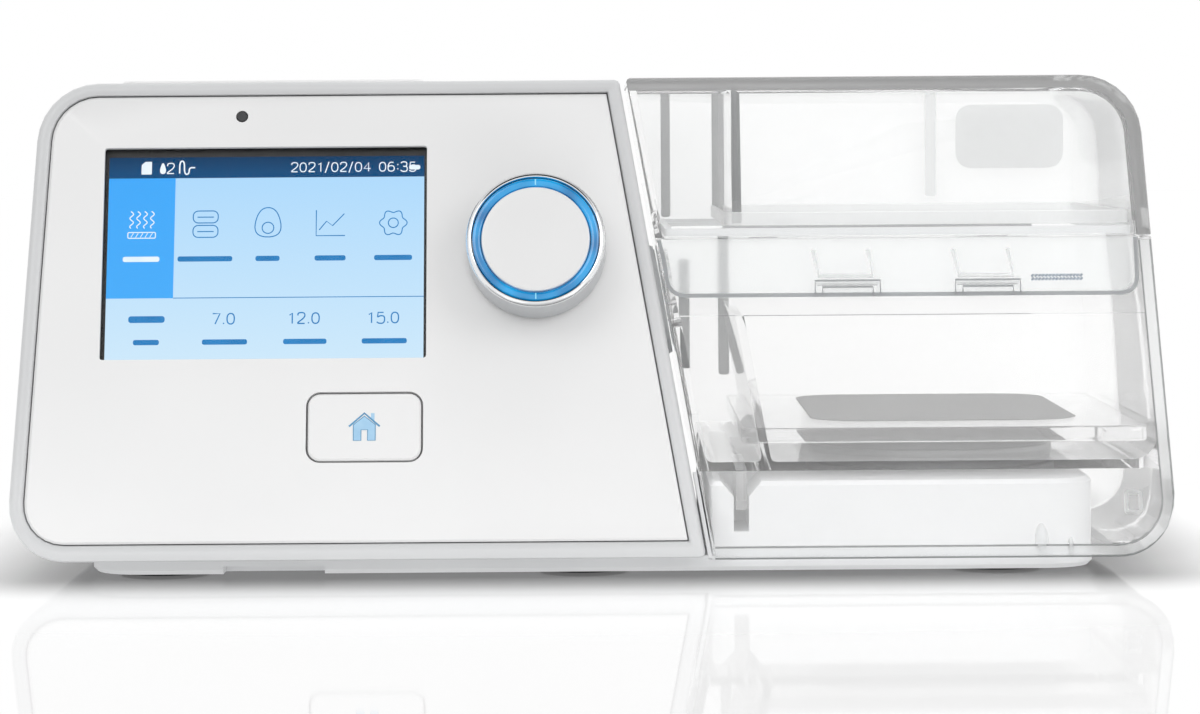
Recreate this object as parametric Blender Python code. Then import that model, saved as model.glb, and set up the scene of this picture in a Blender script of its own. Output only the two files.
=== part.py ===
# A bilevel positive airway pressure machine with a heated water tank at its right side.
# Metres, +X to the right seen from the front, +Y to the back, +Z up.
# The origin lies on the table, under the middle of the whole machine.
import math

import bmesh
import bpy
from mathutils import Matrix, Vector

mm = 0.001

# Fits that every piece shares
clearance = 0.3 * mm
overrun = 4 * mm
embed = 0.8 * mm
edge_break = 0.2 * mm
wall = 2.5 * mm
lip_thickness = 2.5 * mm
few_sides = 14
round_sides = 28
fine_sides = 40
corner_steps = 7
sharp_angle = math.radians(32)
sharp_corner_steps = 2
sharp_corner_limit = 2 * mm

# Whole machine
case_width = 265 * mm
case_depth = 145 * mm
case_height = 114 * mm
face_lean = math.radians(18.3)
side_draft_share = 0.0455
divider_lean_share = 0.174
case_lift = 4.6 * mm
button_rise = 0.8 * mm
hinge_reach = 6.5 * mm
rim_lead = 0.47 * mm
split_inset = 28 * mm
body_foot_width = 158.4 * mm
tank_gap = 1.65 * mm
top_corner_radius = 14 * mm
bottom_corner_radius = 13 * mm
divider_corner_radius = 1.2 * mm
back_edge_radius = 6 * mm
case_top = case_height - button_rise
case_front = -case_depth / 2 - rim_lead
case_back = case_depth / 2 - hinge_reach
case_side = case_width / 2
housing_split_y = case_back - split_inset
divider_foot_x = body_foot_width - case_side
tank_foot_width = case_side - divider_foot_x
face_length = (case_top - case_lift) / math.cos(face_lean)
divider_angle = math.atan(divider_lean_share)
tank_gap_square = tank_gap * math.cos(divider_angle)

# Front rim and panel, as depths behind the leaning face
rim_side = 3.2 * mm
rim_top = 3.0 * mm
rim_bottom = 3.6 * mm
rim_crown = 1.2 * mm
rim_steps = 5
panel_depth = 0.5 * mm
panel_thickness = 2.5 * mm
panel_edge = 0.6 * mm
ledge_width = 1.5 * mm
ledge_thickness = 1.6 * mm
panel_back = panel_depth + panel_thickness
ledge_front = panel_back + clearance
ledge_back = ledge_front + ledge_thickness

# Screen, seen through its window
screen_width = 73.4 * mm
screen_height = 49 * mm
screen_inset = 57.2 * mm
screen_drop = 41.785 * mm
screen_x = screen_inset - case_side
screen_rise = face_length - screen_drop
screen_foot = screen_rise - screen_height / 2
window_side_margin = 0.8 * mm
window_foot_margin = 0.5 * mm
window_head_margin = 1.6 * mm
window_radius = 0.6 * mm
lens_land = 2 * mm
lens_thickness = 1.1 * mm
module_width = 76.5 * mm
module_height = 62 * mm
module_thickness = 5.9 * mm
module_depth = ledge_front

# Dial that turns and presses, on an encoder
knob_divider_gap = 38.3 * mm
knob_drop = 0.1 * mm
knob_x = divider_foot_x - knob_divider_gap
knob_rise = screen_rise - knob_drop
knob_radius = 16 * mm
knob_reach = 11 * mm
knob_travel = 0.8 * mm
knob_shadow = 1.15 * mm
trim_wall = 1.25 * mm
trim_edge = 0.4 * mm
light_ring_width = 1.75 * mm
light_ring_depth = 3.6 * mm
cap_thickness = 2.6 * mm
cap_dish = 0.5 * mm
dish_outer_share = 0.7
dish_inner_share = 0.3
shaft_radius = 3 * mm
shaft_inset = 1.4 * mm
shaft_hole_clearance = 0.6 * mm
encoder_width = 12.5 * mm
encoder_height = 13.5 * mm
encoder_well_radius = 4.8 * mm
encoder_well_depth = 4 * mm
plunger_thickness = 2.2 * mm

# Home button under the screen
home_offset = 23.5 * mm
home_rise_share = 0.6507
home_x = screen_x + home_offset
home_rise = screen_foot * home_rise_share
home_width = 25.8 * mm
home_height = 15.65 * mm
home_radius = 2.8 * mm
home_edge = 0.4 * mm
home_slit = 0.5 * mm
home_travel = 0.5 * mm
home_flange = 1 * mm
home_flange_thickness = 1 * mm
home_stem_radius = 2 * mm
switch_width = 6 * mm
switch_height = 3.8 * mm

# Light sensor over the screen
sensor_offset = 5.7 * mm
sensor_drop = 8.185 * mm
sensor_x = screen_x - sensor_offset
sensor_rise = face_length - sensor_drop
sensor_radius = 1.15 * mm

# Control board behind the panel
board_thickness = 1.6 * mm
control_board_inset = 11.5 * mm
control_board_divider_gap = 23.9 * mm
control_board_foot_margin = 1.475 * mm
control_board_drop = 5.385 * mm
control_board_left = control_board_inset - case_side
control_board_right = divider_foot_x - control_board_divider_gap
control_board_foot = home_rise - home_height / 2 - control_board_foot_margin
control_board_head = face_length - control_board_drop
control_board_radius = 2 * mm
control_board_depth = module_depth + module_thickness + clearance
standoff_radius = 2.4 * mm
standoff_inset = 3.4 * mm

# Start and stop bar on the top
bar_inset = 20.5 * mm
bar_length = 72 * mm
bar_setback = 56.37 * mm
bar_left = bar_inset - case_side
bar_right = bar_left + bar_length
bar_front = case_front + bar_setback
bar_depth = 22 * mm
bar_radius = 4 * mm
bar_edge = 0.4 * mm
bar_flange = 1.5 * mm
bar_flange_thickness = 1.5 * mm
bar_travel = 0.6 * mm
bar_stem_length = 3 * mm
bar_stem_radius = 2.5 * mm
switch_board_width = 40 * mm
switch_board_depth = 30 * mm
switch_post_radius = 3 * mm
switch_post_gap = 2.1 * mm
switch_post_spread = 32 * mm

# Base tray, feet and screws
tray_left_inset = 17.2 * mm
tray_right_inset = 17 * mm
tray_front_inset = 8.47 * mm
tray_back_inset = 4.5 * mm
tray_left = tray_left_inset - case_side
tray_right = case_side - tray_right_inset
tray_front = case_front + tray_front_inset
tray_back = case_back - tray_back_inset
tray_foot = 0.76 * mm
tray_radius = 12 * mm
tray_edge = 1 * mm
tray_notch_inset = 31 * mm
tray_notch_width = 23.2 * mm
tray_notch_left = tray_left + tray_notch_inset
tray_notch_right = tray_notch_left + tray_notch_width
tray_notch_height = 1.84 * mm
tray_notch_depth = 7 * mm
foot_radius = 10 * mm
foot_height = 1.9 * mm
foot_edge = 0.4 * mm
foot_left_inset = 16.3 * mm
foot_divider_gap = 27.9 * mm
foot_right_inset = 21.9 * mm
foot_front_inset = 14.5 * mm
foot_back_inset = 13.5 * mm
foot_xs = (tray_left + foot_left_inset, divider_foot_x - foot_divider_gap, tray_right - foot_right_inset)
foot_ys = (tray_front + foot_front_inset, tray_back - foot_back_inset)
screw_left_inset = 27.3 * mm
screw_divider_gap = 41.9 * mm
screw_front_inset = 26.5 * mm
screw_back_inset = 31.5 * mm
screw_xs = (tray_left + screw_left_inset, divider_foot_x - screw_divider_gap)
screw_ys = (tray_front + screw_front_inset, tray_back - screw_back_inset)
screw_radius = 1.5 * mm
screw_head_radius = 3 * mm
screw_head_height = 1.8 * mm
screw_length = 9 * mm
screw_boss_radius = 3.6 * mm
screw_boss_height = 6 * mm

# Cradle under the tank, with the heater
cradle_gap = 1.1 * mm
cradle_setback = 1.5 * mm
cradle_left = divider_foot_x + cradle_gap
cradle_front = tray_front + cradle_setback
cradle_top = 21 * mm
slot_inset = 6.5 * mm
slot_width = 3.5 * mm
slot_left = divider_foot_x + slot_inset
slot_right = slot_left + slot_width
slot_foot = 9.5 * mm
slot_depth = 25 * mm
slot_mouth = 2.9 * mm
slot_mouth_height = 3.5 * mm
heater_side_margin = 5.4 * mm
heater_share = 0.3841
heater_setback = 61 * mm
heater_room = tray_right - heater_side_margin - slot_right
heater_radius = heater_room * heater_share
heater_x = tray_right - heater_side_margin - heater_radius
heater_y = cradle_front + heater_setback
heater_thickness = 4.4 * mm
heater_edge = 0.6 * mm
heater_clearance = 0.6 * mm
heater_rise = 0.9 * mm
insulator_thickness = 7.9 * mm
insulator_core_share = 0.7
insulator_core_radius = heater_radius * insulator_core_share
insulator_dish = 3 * mm

# Tank
tank_top_drop = 37.1 * mm
tank_top = case_top - tank_top_drop
tank_wall = 2.4 * mm
tank_floor = 25.5 * mm
tank_floor_thickness = 2 * mm
tank_skirt_edge = 15 * mm
partition_drop = 18.1 * mm
partition_top = tank_top - partition_drop
passage_width = 12.7 * mm
partition_thickness = 2 * mm
chamber_corner_radius = 6 * mm
tank_bead = 0.8 * mm
tank_plate_overlap = 1.4 * mm
tank_plate_radius = heater_radius + tank_plate_overlap
tank_plate_thickness = 1 * mm
tank_plate_hole = heater_radius + clearance
seal_ring_width = 2 * mm
seal_ring_height = 1.7 * mm
rib_wall = 0.5 * mm
rib_foot = 14.5 * mm

# Lid
lid_top_rise = 0.4 * mm
lid_foot = tank_top + clearance
lid_left_corner_radius = 0.8 * mm
lid_shell_wall = 1.6 * mm
lid_rim_depth = 3 * mm
lid_body_wall = 2 * mm
lid_partition_inset = 7.1 * mm
lid_partition_thickness = 2.2 * mm
lid_partition_left = divider_foot_x + lid_partition_inset
lid_partition_right = lid_partition_left + lid_partition_thickness
lid_partition_foot = 3.2 * mm
lid_front_edge = 0.9 * mm
edge_bend_share = 0.3
gasket_width = 1.8 * mm
gasket_height = 2 * mm
hinge_radius = 3.2 * mm
hinge_pin_radius = 1.2 * mm
hinge_shares = (0.179, 0.742)
hinge_xs = [divider_foot_x + share * tank_foot_width for share in hinge_shares]
hinge_tank_width = 8 * mm
hinge_lid_width = 5 * mm
hinge_pin_overhang = 1.5 * mm
hinge_bore_reach = 16 * mm

# Latch flap on the lid's front
flap_drop = 13.4 * mm
flap_foot = tank_top - flap_drop
flap_right_inset = 3.5 * mm
flap_left_inset = 0.2 * mm
flap_radius = 8 * mm
flap_thickness = 2 * mm
flap_edge = 0.3 * mm
catch_shares = (0.3133, 0.6163)
catch_width = 15 * mm
catch_lift = 1.1 * mm
catch_foot = flap_foot + catch_lift
catch_middles = [divider_foot_x + share * tank_foot_width for share in catch_shares]
catch_left_edges = [middle - catch_width / 2 for middle in catch_middles]
catch_height = 2.4 * mm
catch_reach = 1.1 * mm
catch_clearance = 0.6 * mm

# Air ducts and their seals in the divider
seal_drop = 16.1 * mm
supply_seal_inset = 46 * mm
return_seal_inset = 18 * mm
seal_rise = tank_top - seal_drop
supply_seal_y = housing_split_y - supply_seal_inset
return_seal_y = housing_split_y - return_seal_inset
duct_bore = 8.6 * mm
duct_radius = 10 * mm
seal_sleeve_radius = 10.8 * mm
seal_flange_radius = 13 * mm
seal_inner_reach = 2 * mm
seal_edge = 0.4 * mm
duct_steps = 9
duct_sides = 20

# Outlet for the hose, at the back
outlet_divider_gap = 45.9 * mm
outlet_drop = 29.2 * mm
outlet_x = divider_foot_x - outlet_divider_gap
outlet_z = case_top - outlet_drop
outlet_radius = 11 * mm
outlet_tip_radius = 10.7 * mm
outlet_bore = 9 * mm
outlet_pocket_radius = 22 * mm
outlet_pocket_depth = 14 * mm
outlet_pocket_floor = case_back - outlet_pocket_depth
pocket_thickness = 2 * mm
outlet_flange_radius = 14 * mm
outlet_flange_thickness = 1.4 * mm
outlet_edge = 0.6 * mm

# Air filter at the back
filter_inset = 21.5 * mm
filter_width = 54 * mm
filter_height = 42 * mm
filter_drop = 11.2 * mm
filter_left = filter_inset - case_side
filter_right = filter_left + filter_width
filter_head = case_top - filter_drop
filter_foot = filter_head - filter_height
filter_frame_wall = 2 * mm
filter_frame_depth = 16 * mm
filter_frame_front = case_back - filter_frame_depth
filter_cover_thickness = 2.5 * mm
grille_columns = 4
grille_rows = 3
grille_bar = 2 * mm
vent_count = 6
vent_height = 2.4 * mm
vent_radius = 0.8 * mm
vent_side_margin = 8 * mm

# Power inlet and memory card
inlet_x = outlet_x
inlet_z = 24 * mm
inlet_width = 14 * mm
inlet_height = 12 * mm
inlet_length = 20 * mm
inlet_bore = 4.2 * mm
inlet_bore_depth = 12 * mm
inlet_pin_radius = 0.9 * mm
inlet_pin_inset = 1 * mm
card_inset = 72.5 * mm
card_x = card_inset - case_side
card_z = 16 * mm
card_width = 24 * mm
card_length = 32 * mm
card_thickness = 2.1 * mm
card_corner = 3 * mm
card_clearance = 0.6 * mm
card_proud = 1.5 * mm
socket_wall = 1.6 * mm
socket_length = 29 * mm

# Main board on the left wall
main_board_inset = 9.5 * mm
main_board_depth = 56 * mm
main_board_setback = 2 * mm
main_board_foot = 16 * mm
main_board_drop = 17.2 * mm
main_board_x = main_board_inset - case_side
main_board_back = housing_split_y - main_board_setback
main_board_front = main_board_back - main_board_depth
main_board_head = case_top - main_board_drop
board_boss_radius = 3 * mm
board_boss_inset = 5 * mm
part_height = 6 * mm

# Blower
scroll_wall = 2 * mm
scroll_growth = 15.5 * mm
scroll_growth_share = 1.5
blower_front_inset = 29.47 * mm
blower_back_inset = 21.25 * mm
blower_front = case_front + blower_front_inset
scroll_room = case_back - blower_back_inset - blower_front - 2 * scroll_wall
scroll_start_radius = (scroll_room - scroll_growth * scroll_growth_share) / 2
blower_y = blower_front + scroll_wall + scroll_growth + scroll_start_radius
scroll_steps = 36
blower_foot = 26 * mm
scroll_height = 22 * mm
channel_length = 40 * mm
outlet_stub_length = 52 * mm
stub_bore = 7.7 * mm
ear_overhang = 19.5 * mm
ear_spread = scroll_start_radius + ear_overhang
ear_radius = 5 * mm
ear_root_radius = 9 * mm
ear_root_overhang = 12.5 * mm
ear_root_spread = scroll_start_radius + ear_root_overhang
ear_height = 2.5 * mm
ear_angles = (math.radians(30), math.radians(150), math.radians(270))
ear_board_gap = 1.1 * mm
ear_reach = ear_spread * math.cos(ear_angles[0]) + ear_radius
blower_x = main_board_x + board_thickness + ear_board_gap + ear_reach
grommet_height = 10.4 * mm
grommet_waist = 3.6 * mm
grommet_flange = 3.1 * mm
grommet_slope = 1 * mm
post_radius = 4 * mm
blower_cover_thickness = 2 * mm
inlet_ring_bore = 15 * mm
inlet_ring_height = 5.7 * mm
motor_radius = 19 * mm
motor_height = 14 * mm
motor_edge = 1.5 * mm
rotor_shaft_radius = 2 * mm
rotor_clearance = 0.6 * mm
rotor_shaft_foot = 12.5 * mm
impeller_gap = 2.5 * mm
impeller_radius = scroll_start_radius - impeller_gap
impeller_disc_thickness = 1.6 * mm
impeller_float = 1.5 * mm
blade_height = 11 * mm
blade_root_radius = 12 * mm
blade_thickness = 1.2 * mm
blade_count = 9
blade_steps = 4
blade_sweep = math.radians(38)
hub_radius = 6 * mm
hub_top_radius = 5 * mm
hub_height = 9 * mm
shaft_drop = 4 * mm
foam_inset = 20.5 * mm
foam_length = 80 * mm
foam_lead = 32.5 * mm
foam_left = foam_inset - case_side
foam_right = foam_left + foam_length
foam_front = blower_y - foam_lead
foam_gap = 6 * mm
foam_back = filter_frame_front - foam_gap
foam_height = 12 * mm
foam_radius = 6 * mm

# Colour, roughness, metallic value and opacity of each kind of material
finishes = {
    "white_abs": ("#E4E5E6", 0.38, 0.0, 1.0),
    "panel_abs": ("#EBEBEB", 0.42, 0.0, 1.0),
    "base_abs": ("#D2D3D4", 0.50, 0.0, 1.0),
    "clear_plastic": ("#F2F5F6", 0.08, 0.0, 0.28),
    "smoke_plastic": ("#9C9C9B", 0.12, 0.0, 0.55),
    "black_glass": ("#20242A", 0.10, 0.0, 0.5),
    "screen_blue": ("#9CCFF8", 0.30, 0.0, 1.0),
    "dark_plastic": ("#3A3B3D", 0.55, 0.0, 1.0),
    "circuit_green": ("#1E5B3A", 0.55, 0.0, 1.0),
    "bright_chrome": ("#D9DBDD", 0.12, 1.0, 1.0),
    "light_blue": ("#0C8FD0", 0.20, 0.0, 1.0),
    "steel": ("#A9ABAE", 0.32, 1.0, 1.0),
    "aluminium": ("#C4C6C8", 0.35, 1.0, 1.0),
    "black_rubber": ("#1E1E1F", 0.85, 0.0, 1.0),
    "clear_silicone": ("#E6E9EA", 0.45, 0.0, 0.75),
    "grey_foam": ("#5A5C5E", 0.95, 0.0, 1.0),
    "white_foam": ("#E9E9E4", 0.95, 0.0, 1.0),
    "grey_nylon": ("#8D9093", 0.50, 0.0, 1.0),
    "blue_card": ("#2B4C7E", 0.45, 0.0, 1.0),
}


def face_y(z, depth=0.0):
    # y of the plane that lies depth behind the leaning front face, at height z
    return case_front + (z - case_lift) * math.tan(face_lean) + depth / math.cos(face_lean)


def divider_x(z):
    # the body's right wall, which leans to the left as it rises
    return divider_foot_x - (z - case_lift) * divider_lean_share


def tank_left_x(z):
    return divider_x(z) + tank_gap


def side_x(z):
    # the right side of the tank and lid; the body's left side mirrors it
    widest_z = case_lift + bottom_corner_radius
    return case_width / 2 - (z - widest_z) * side_draft_share


def moved_lines(corners, insets):
    # each edge as a point, a direction and its inward normal, moved in by its inset
    lines = []
    for index, start in enumerate(corners):
        end = corners[(index + 1) % len(corners)]
        direction = (end - start).normalized()
        inward = Vector((-direction.y, direction.x))
        lines.append((start + inward * insets[index], direction, inward))
    return lines


def meeting_point(first, second):
    along = (second[0] - first[0]).cross(second[1]) / first[1].cross(second[1])
    return first[0] + first[1] * along


def rounded_outline(corners, radii, insets=None):
    # corners run anticlockwise, and edge i leaves corner i
    corners = [Vector(corner) for corner in corners]
    insets = insets or [0.0] * len(corners)
    lines = moved_lines(corners, insets)
    outline = []
    for index, radius in enumerate(radii):
        before = lines[index - 1]
        after = lines[index]
        if not radius:
            outline.append(meeting_point(before, after))
            continue
        bend = max(radius - max(insets[index - 1], insets[index]), edge_break)
        turn = math.atan2(before[1].cross(after[1]), before[1].dot(after[1]))
        corner = meeting_point(before, after)
        centre = corner - before[1] * bend * math.tan(turn / 2) + before[2] * bend
        steps = corner_steps if radius > sharp_corner_limit else sharp_corner_steps
        for step in range(steps + 1):
            spoke = -before[2]
            spoke.rotate(Matrix.Rotation(turn * step / steps, 2))
            outline.append(centre + spoke * bend)
    return outline


def rectangle(low, high):
    return [(low[0], low[1]), (high[0], low[1]), (high[0], high[1]), (low[0], high[1])]


def leaning_ring(outline, depth):
    return [Vector((point.x, face_y(point.y, depth), point.y)) for point in outline]


def upright_ring(outline, y):
    return [Vector((point.x, y, point.y)) for point in outline]


def level_ring(outline, z):
    return [Vector((point.x, point.y, z)) for point in outline]


def joined(rings, closed=False):
    # a skin over rings of equal length: capped at both ends, or closed into a loop
    count = len(rings[0])
    points = [tuple(point) for ring in rings for point in ring]
    faces = []
    for row in range(len(rings) if closed else len(rings) - 1):
        here = row * count
        there = ((row + 1) % len(rings)) * count
        for column in range(count):
            beside = (column + 1) % count
            faces.append((here + column, here + beside, there + beside, there + column))
    if not closed:
        faces.append(tuple(range(count)))
        faces.append(tuple(range(len(points) - count, len(points))))
    return points, faces


def circle(centre, radius, axis, sides=round_sides):
    across, up = {"X": (1, 2), "Y": (2, 0), "Z": (0, 1)}[axis]
    ring = []
    for side in range(sides):
        angle = 2 * math.pi * side / sides
        point = Vector(centre)
        point[across] += radius * math.cos(angle)
        point[up] += radius * math.sin(angle)
        ring.append(point)
    return ring


def turned(centre, axis, profile, closed=False, sides=round_sides):
    # profile points are (radius, distance along the axis)
    rings = []
    for radius, along in profile:
        middle = Vector(centre)
        middle["XYZ".index(axis)] += along
        rings.append(circle(middle, radius, axis, sides))
    return joined(rings, closed)


def rod(centre, axis, radius, start, end, sides=round_sides):
    return turned(centre, axis, [(radius, start), (radius, end)], sides=sides)


def tube(centre, axis, radius, bore, start, end, sides=round_sides):
    profile = [(radius, start), (radius, end), (bore, end), (bore, start)]
    return turned(centre, axis, profile, closed=True, sides=sides)


def block(low, high):
    foot = [Vector((x, y, low[2])) for x, y in rectangle(low, high)]
    head = [Vector((x, y, high[2])) for x, y in rectangle(low, high)]
    return joined([foot, head])


def slab(low, high, radius, start, end, lay=level_ring, start_edge=0.0, end_edge=0.0):
    # a rounded rectangle carried from start to end, its rims broken by the two edges
    corners = rectangle(low, high)
    radii = [radius] * 4
    rings = []
    if start_edge:
        rings.append(lay(rounded_outline(corners, radii, [start_edge] * 4), start))
    rings.append(lay(rounded_outline(corners, radii), start + start_edge))
    rings.append(lay(rounded_outline(corners, radii), end - end_edge))
    if end_edge:
        rings.append(lay(rounded_outline(corners, radii, [end_edge] * 4), end))
    return joined(rings)


def bent_tube(start, start_direction, end, end_direction, outer, inner):
    # a smooth curve between two directions, with rings square to it
    reach = (end - start).length / 2
    first = start + start_direction * reach
    second = end - end_direction * reach
    outside = []
    inside = []
    for step in range(duct_steps + 1):
        t = step / duct_steps
        place = start * (1 - t) ** 3 + first * 3 * t * (1 - t) ** 2
        place += second * 3 * t * t * (1 - t) + end * t ** 3
        ahead = (first - start) * (1 - t) ** 2 + (second - first) * 2 * t * (1 - t)
        ahead += (end - second) * t * t
        side = ahead.cross(Vector((0, 0, 1))).normalized()
        up = side.cross(ahead).normalized()
        for ring, radius in ((outside, outer), (inside, inner)):
            turn = [2 * math.pi * index / duct_sides for index in range(duct_sides)]
            ring.append([place + (side * math.cos(a) + up * math.sin(a)) * radius for a in turn])
    return joined(outside + inside[::-1], closed=True)


def empty(name, location, rotation=(0, 0, 0), parent=None):
    marker = bpy.data.objects.new(name, None)
    bpy.context.scene.collection.objects.link(marker)
    marker.parent = parent
    marker.location = location
    marker.rotation_euler = rotation
    return marker


def shape(name, lumps, parent=None, origin=(0, 0, 0)):
    # one mesh object from lumps of points and faces, its origin at the point given
    points = []
    faces = []
    for lump_points, lump_faces in lumps:
        offset = len(points)
        points.extend(Vector(point) - Vector(origin) for point in lump_points)
        faces.extend(tuple(offset + corner for corner in face) for face in lump_faces)
    mesh = bpy.data.meshes.new(name)
    mesh.from_pydata(points, [], faces)
    working = bmesh.new()
    working.from_mesh(mesh)
    bmesh.ops.recalc_face_normals(working, faces=working.faces)
    working.to_mesh(mesh)
    working.free()
    mesh.shade_smooth()
    mesh.set_sharp_from_angle(angle=sharp_angle)
    made = bpy.data.objects.new(name, mesh)
    bpy.context.scene.collection.objects.link(made)
    made.parent = parent
    made.location = origin
    return made


def linear_colour(text):
    # an sRGB hex colour in the renderer's linear values
    shares = [int(text[place:place + 2], 16) / 255 for place in (1, 3, 5)]
    return [s / 12.92 if s <= 0.04045 else ((s + 0.055) / 1.055) ** 2.4 for s in shares]


def piece(name, lumps, finish, parent=None, origin=(0, 0, 0)):
    made = shape(name, lumps, parent, origin)
    colour, roughness, metallic, opacity = finishes[finish]
    material = bpy.data.materials.new(f"{name}_{finish}")
    material.use_nodes = True
    shader = material.node_tree.nodes["Principled BSDF"]
    shader.inputs["Base Color"].default_value = (*linear_colour(colour), 1)
    shader.inputs["Roughness"].default_value = roughness
    shader.inputs["Metallic"].default_value = metallic
    shader.inputs["Alpha"].default_value = opacity
    material.diffuse_color = (*linear_colour(colour), opacity)
    made.data.materials.append(material)
    return made


def change(target, label, lumps, operation, parent):
    tool = shape(f"{target.name}_{label}", lumps, parent)
    tool.hide_render = True
    tool.display_type = "WIRE"
    step = target.modifiers.new(label, "BOOLEAN")
    step.operation = operation
    step.solver = "EXACT"
    step.object = tool


def carve(target, label, lumps, parent=None):
    change(target, label, lumps, "DIFFERENCE", parent)


def fuse(target, label, lumps, parent=None):
    change(target, label, lumps, "UNION", parent)


def body_corners():
    low = case_lift
    high = case_top
    return [(-side_x(low), low), (divider_x(low), low), (divider_x(high), high), (-side_x(high), high)]


def tank_corners(low, high):
    return [(tank_left_x(low), low), (side_x(low), low), (side_x(high), high), (tank_left_x(high), high)]


body_radii = (bottom_corner_radius, divider_corner_radius, divider_corner_radius, top_corner_radius)
tank_radii = (divider_corner_radius, bottom_corner_radius, edge_break, edge_break)
square_corners = (0, 0, 0, 0)
cavity_radii = (divider_corner_radius, divider_corner_radius, 0, 0)
lid_radii = (edge_break, edge_break, top_corner_radius, lid_left_corner_radius)
body_rim = (rim_bottom, rim_side, rim_top, rim_side)
tank_rim = (rim_bottom, rim_side, tank_bead, tank_bead)


def body_outline(insets):
    return rounded_outline(body_corners(), body_radii, list(insets))


def rim_rings(outline_at, rim):
    # a convex band round the front, from its inner edge to the outer side
    rings = []
    for step in range(rim_steps + 1):
        angle = math.pi * step / rim_steps
        inward = [width * (1 + math.cos(angle)) / 2 for width in rim]
        rings.append(leaning_ring(outline_at(inward), rim_crown * (1 - math.sin(angle))))
    return rings


def back_rings(outline_at, insets, rounded_edges, end=0.0):
    # the rounded back edge up to end short of the back; an edge with a 0 keeps its inset
    rings = []
    steps = corner_steps // 2
    centre_y = case_back - back_edge_radius
    for step in range(steps + 1):
        along = (back_edge_radius - end) * math.sin(math.pi / 2 * step / steps)
        widths = []
        for inset, edge in zip(insets, rounded_edges):
            bend = back_edge_radius - inset
            widths.append(back_edge_radius - math.sqrt(bend * bend - along * along) if edge else inset)
        rings.append(upright_ring(outline_at(widths), centre_y + along))
    return rings


def seal_frames():
    # x of each frame runs square out of the divider, at the middle of an air passage
    frames = {}
    for name, y in (("supply", supply_seal_y), ("return", return_seal_y)):
        place = (divider_x(seal_rise), y, seal_rise)
        frames[name] = empty(f"{name}_seal_frame", place, (0, -divider_angle, 0))
    return frames


def ear_places(spread):
    return [
        (blower_x + spread * math.cos(angle), blower_y + spread * math.sin(angle))
        for angle in ear_angles
    ]


def housing_bosses():
    floor = case_lift + wall
    bosses = []
    post_top = blower_foot - clearance - grommet_height - clearance
    for x, y in ear_places(ear_spread):
        bosses.append(rod((x, y, 0), "Z", post_radius, floor - embed, post_top))
    for x in screw_xs:
        for y in screw_ys:
            bosses.append(rod((x, y, floor), "Z", screw_boss_radius, -embed, screw_boss_height))
    for y in (main_board_front + board_boss_inset, main_board_back - board_boss_inset):
        for z in (main_board_foot + board_boss_inset, main_board_head - board_boss_inset):
            inner = -side_x(z) + wall
            bosses.append(rod((0, y, z), "X", board_boss_radius, inner - embed, main_board_x - clearance))
    ceiling = case_top - wall
    for x in switch_post_xs():
        bosses.append(rod((x, switch_post_y(), 0), "Z", switch_post_radius, switch_board_top() + clearance,
                          ceiling + embed))
    return bosses


def switch_board_top():
    stem_tip = case_top - wall - clearance - bar_flange_thickness - bar_stem_length
    return stem_tip - clearance - bar_travel - switch_height - clearance


def switch_post_xs():
    middle = (bar_left + bar_right) / 2
    return (middle - switch_post_spread / 2, middle + switch_post_spread / 2)


def switch_post_y():
    return bar_front + bar_depth + bar_flange + switch_post_radius + switch_post_gap


def make_main_housing(seals):
    rings = rim_rings(body_outline, body_rim)
    inner = [wall] * 4
    ledge = [width + ledge_width for width in body_rim]
    rings.append(upright_ring(body_outline([0.0] * 4), housing_split_y))
    rings.append(upright_ring(body_outline(inner), housing_split_y))
    rings.append(leaning_ring(body_outline(inner), ledge_back))
    rings.append(leaning_ring(body_outline(ledge), ledge_back))
    rings.append(leaning_ring(body_outline(ledge), ledge_front))
    rings.append(leaning_ring(body_outline(body_rim), ledge_front))
    housing = piece("main_housing", [joined(rings, closed=True)], "white_abs")
    fuse(housing, "bosses", housing_bosses())
    low = (bar_left - clearance, bar_front - clearance)
    high = (bar_right + clearance, bar_front + bar_depth + clearance)
    ceiling = case_top - wall
    carve(housing, "bar_hole",
          [slab(low, high, bar_radius + clearance, ceiling - overrun, case_top + overrun)])
    for name, frame in seals.items():
        hole = rod((0, 0, 0), "X", seal_sleeve_radius + clearance, -wall - overrun, overrun)
        carve(housing, f"{name}_seal_hole", [hole], frame)
    holes = []
    for x in screw_xs:
        for y in screw_ys:
            height = case_lift + wall + screw_boss_height
            holes.append(rod((x, y, 0), "Z", screw_radius + clearance, 0, height + overrun))
    carve(housing, "screw_holes", holes)


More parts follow.
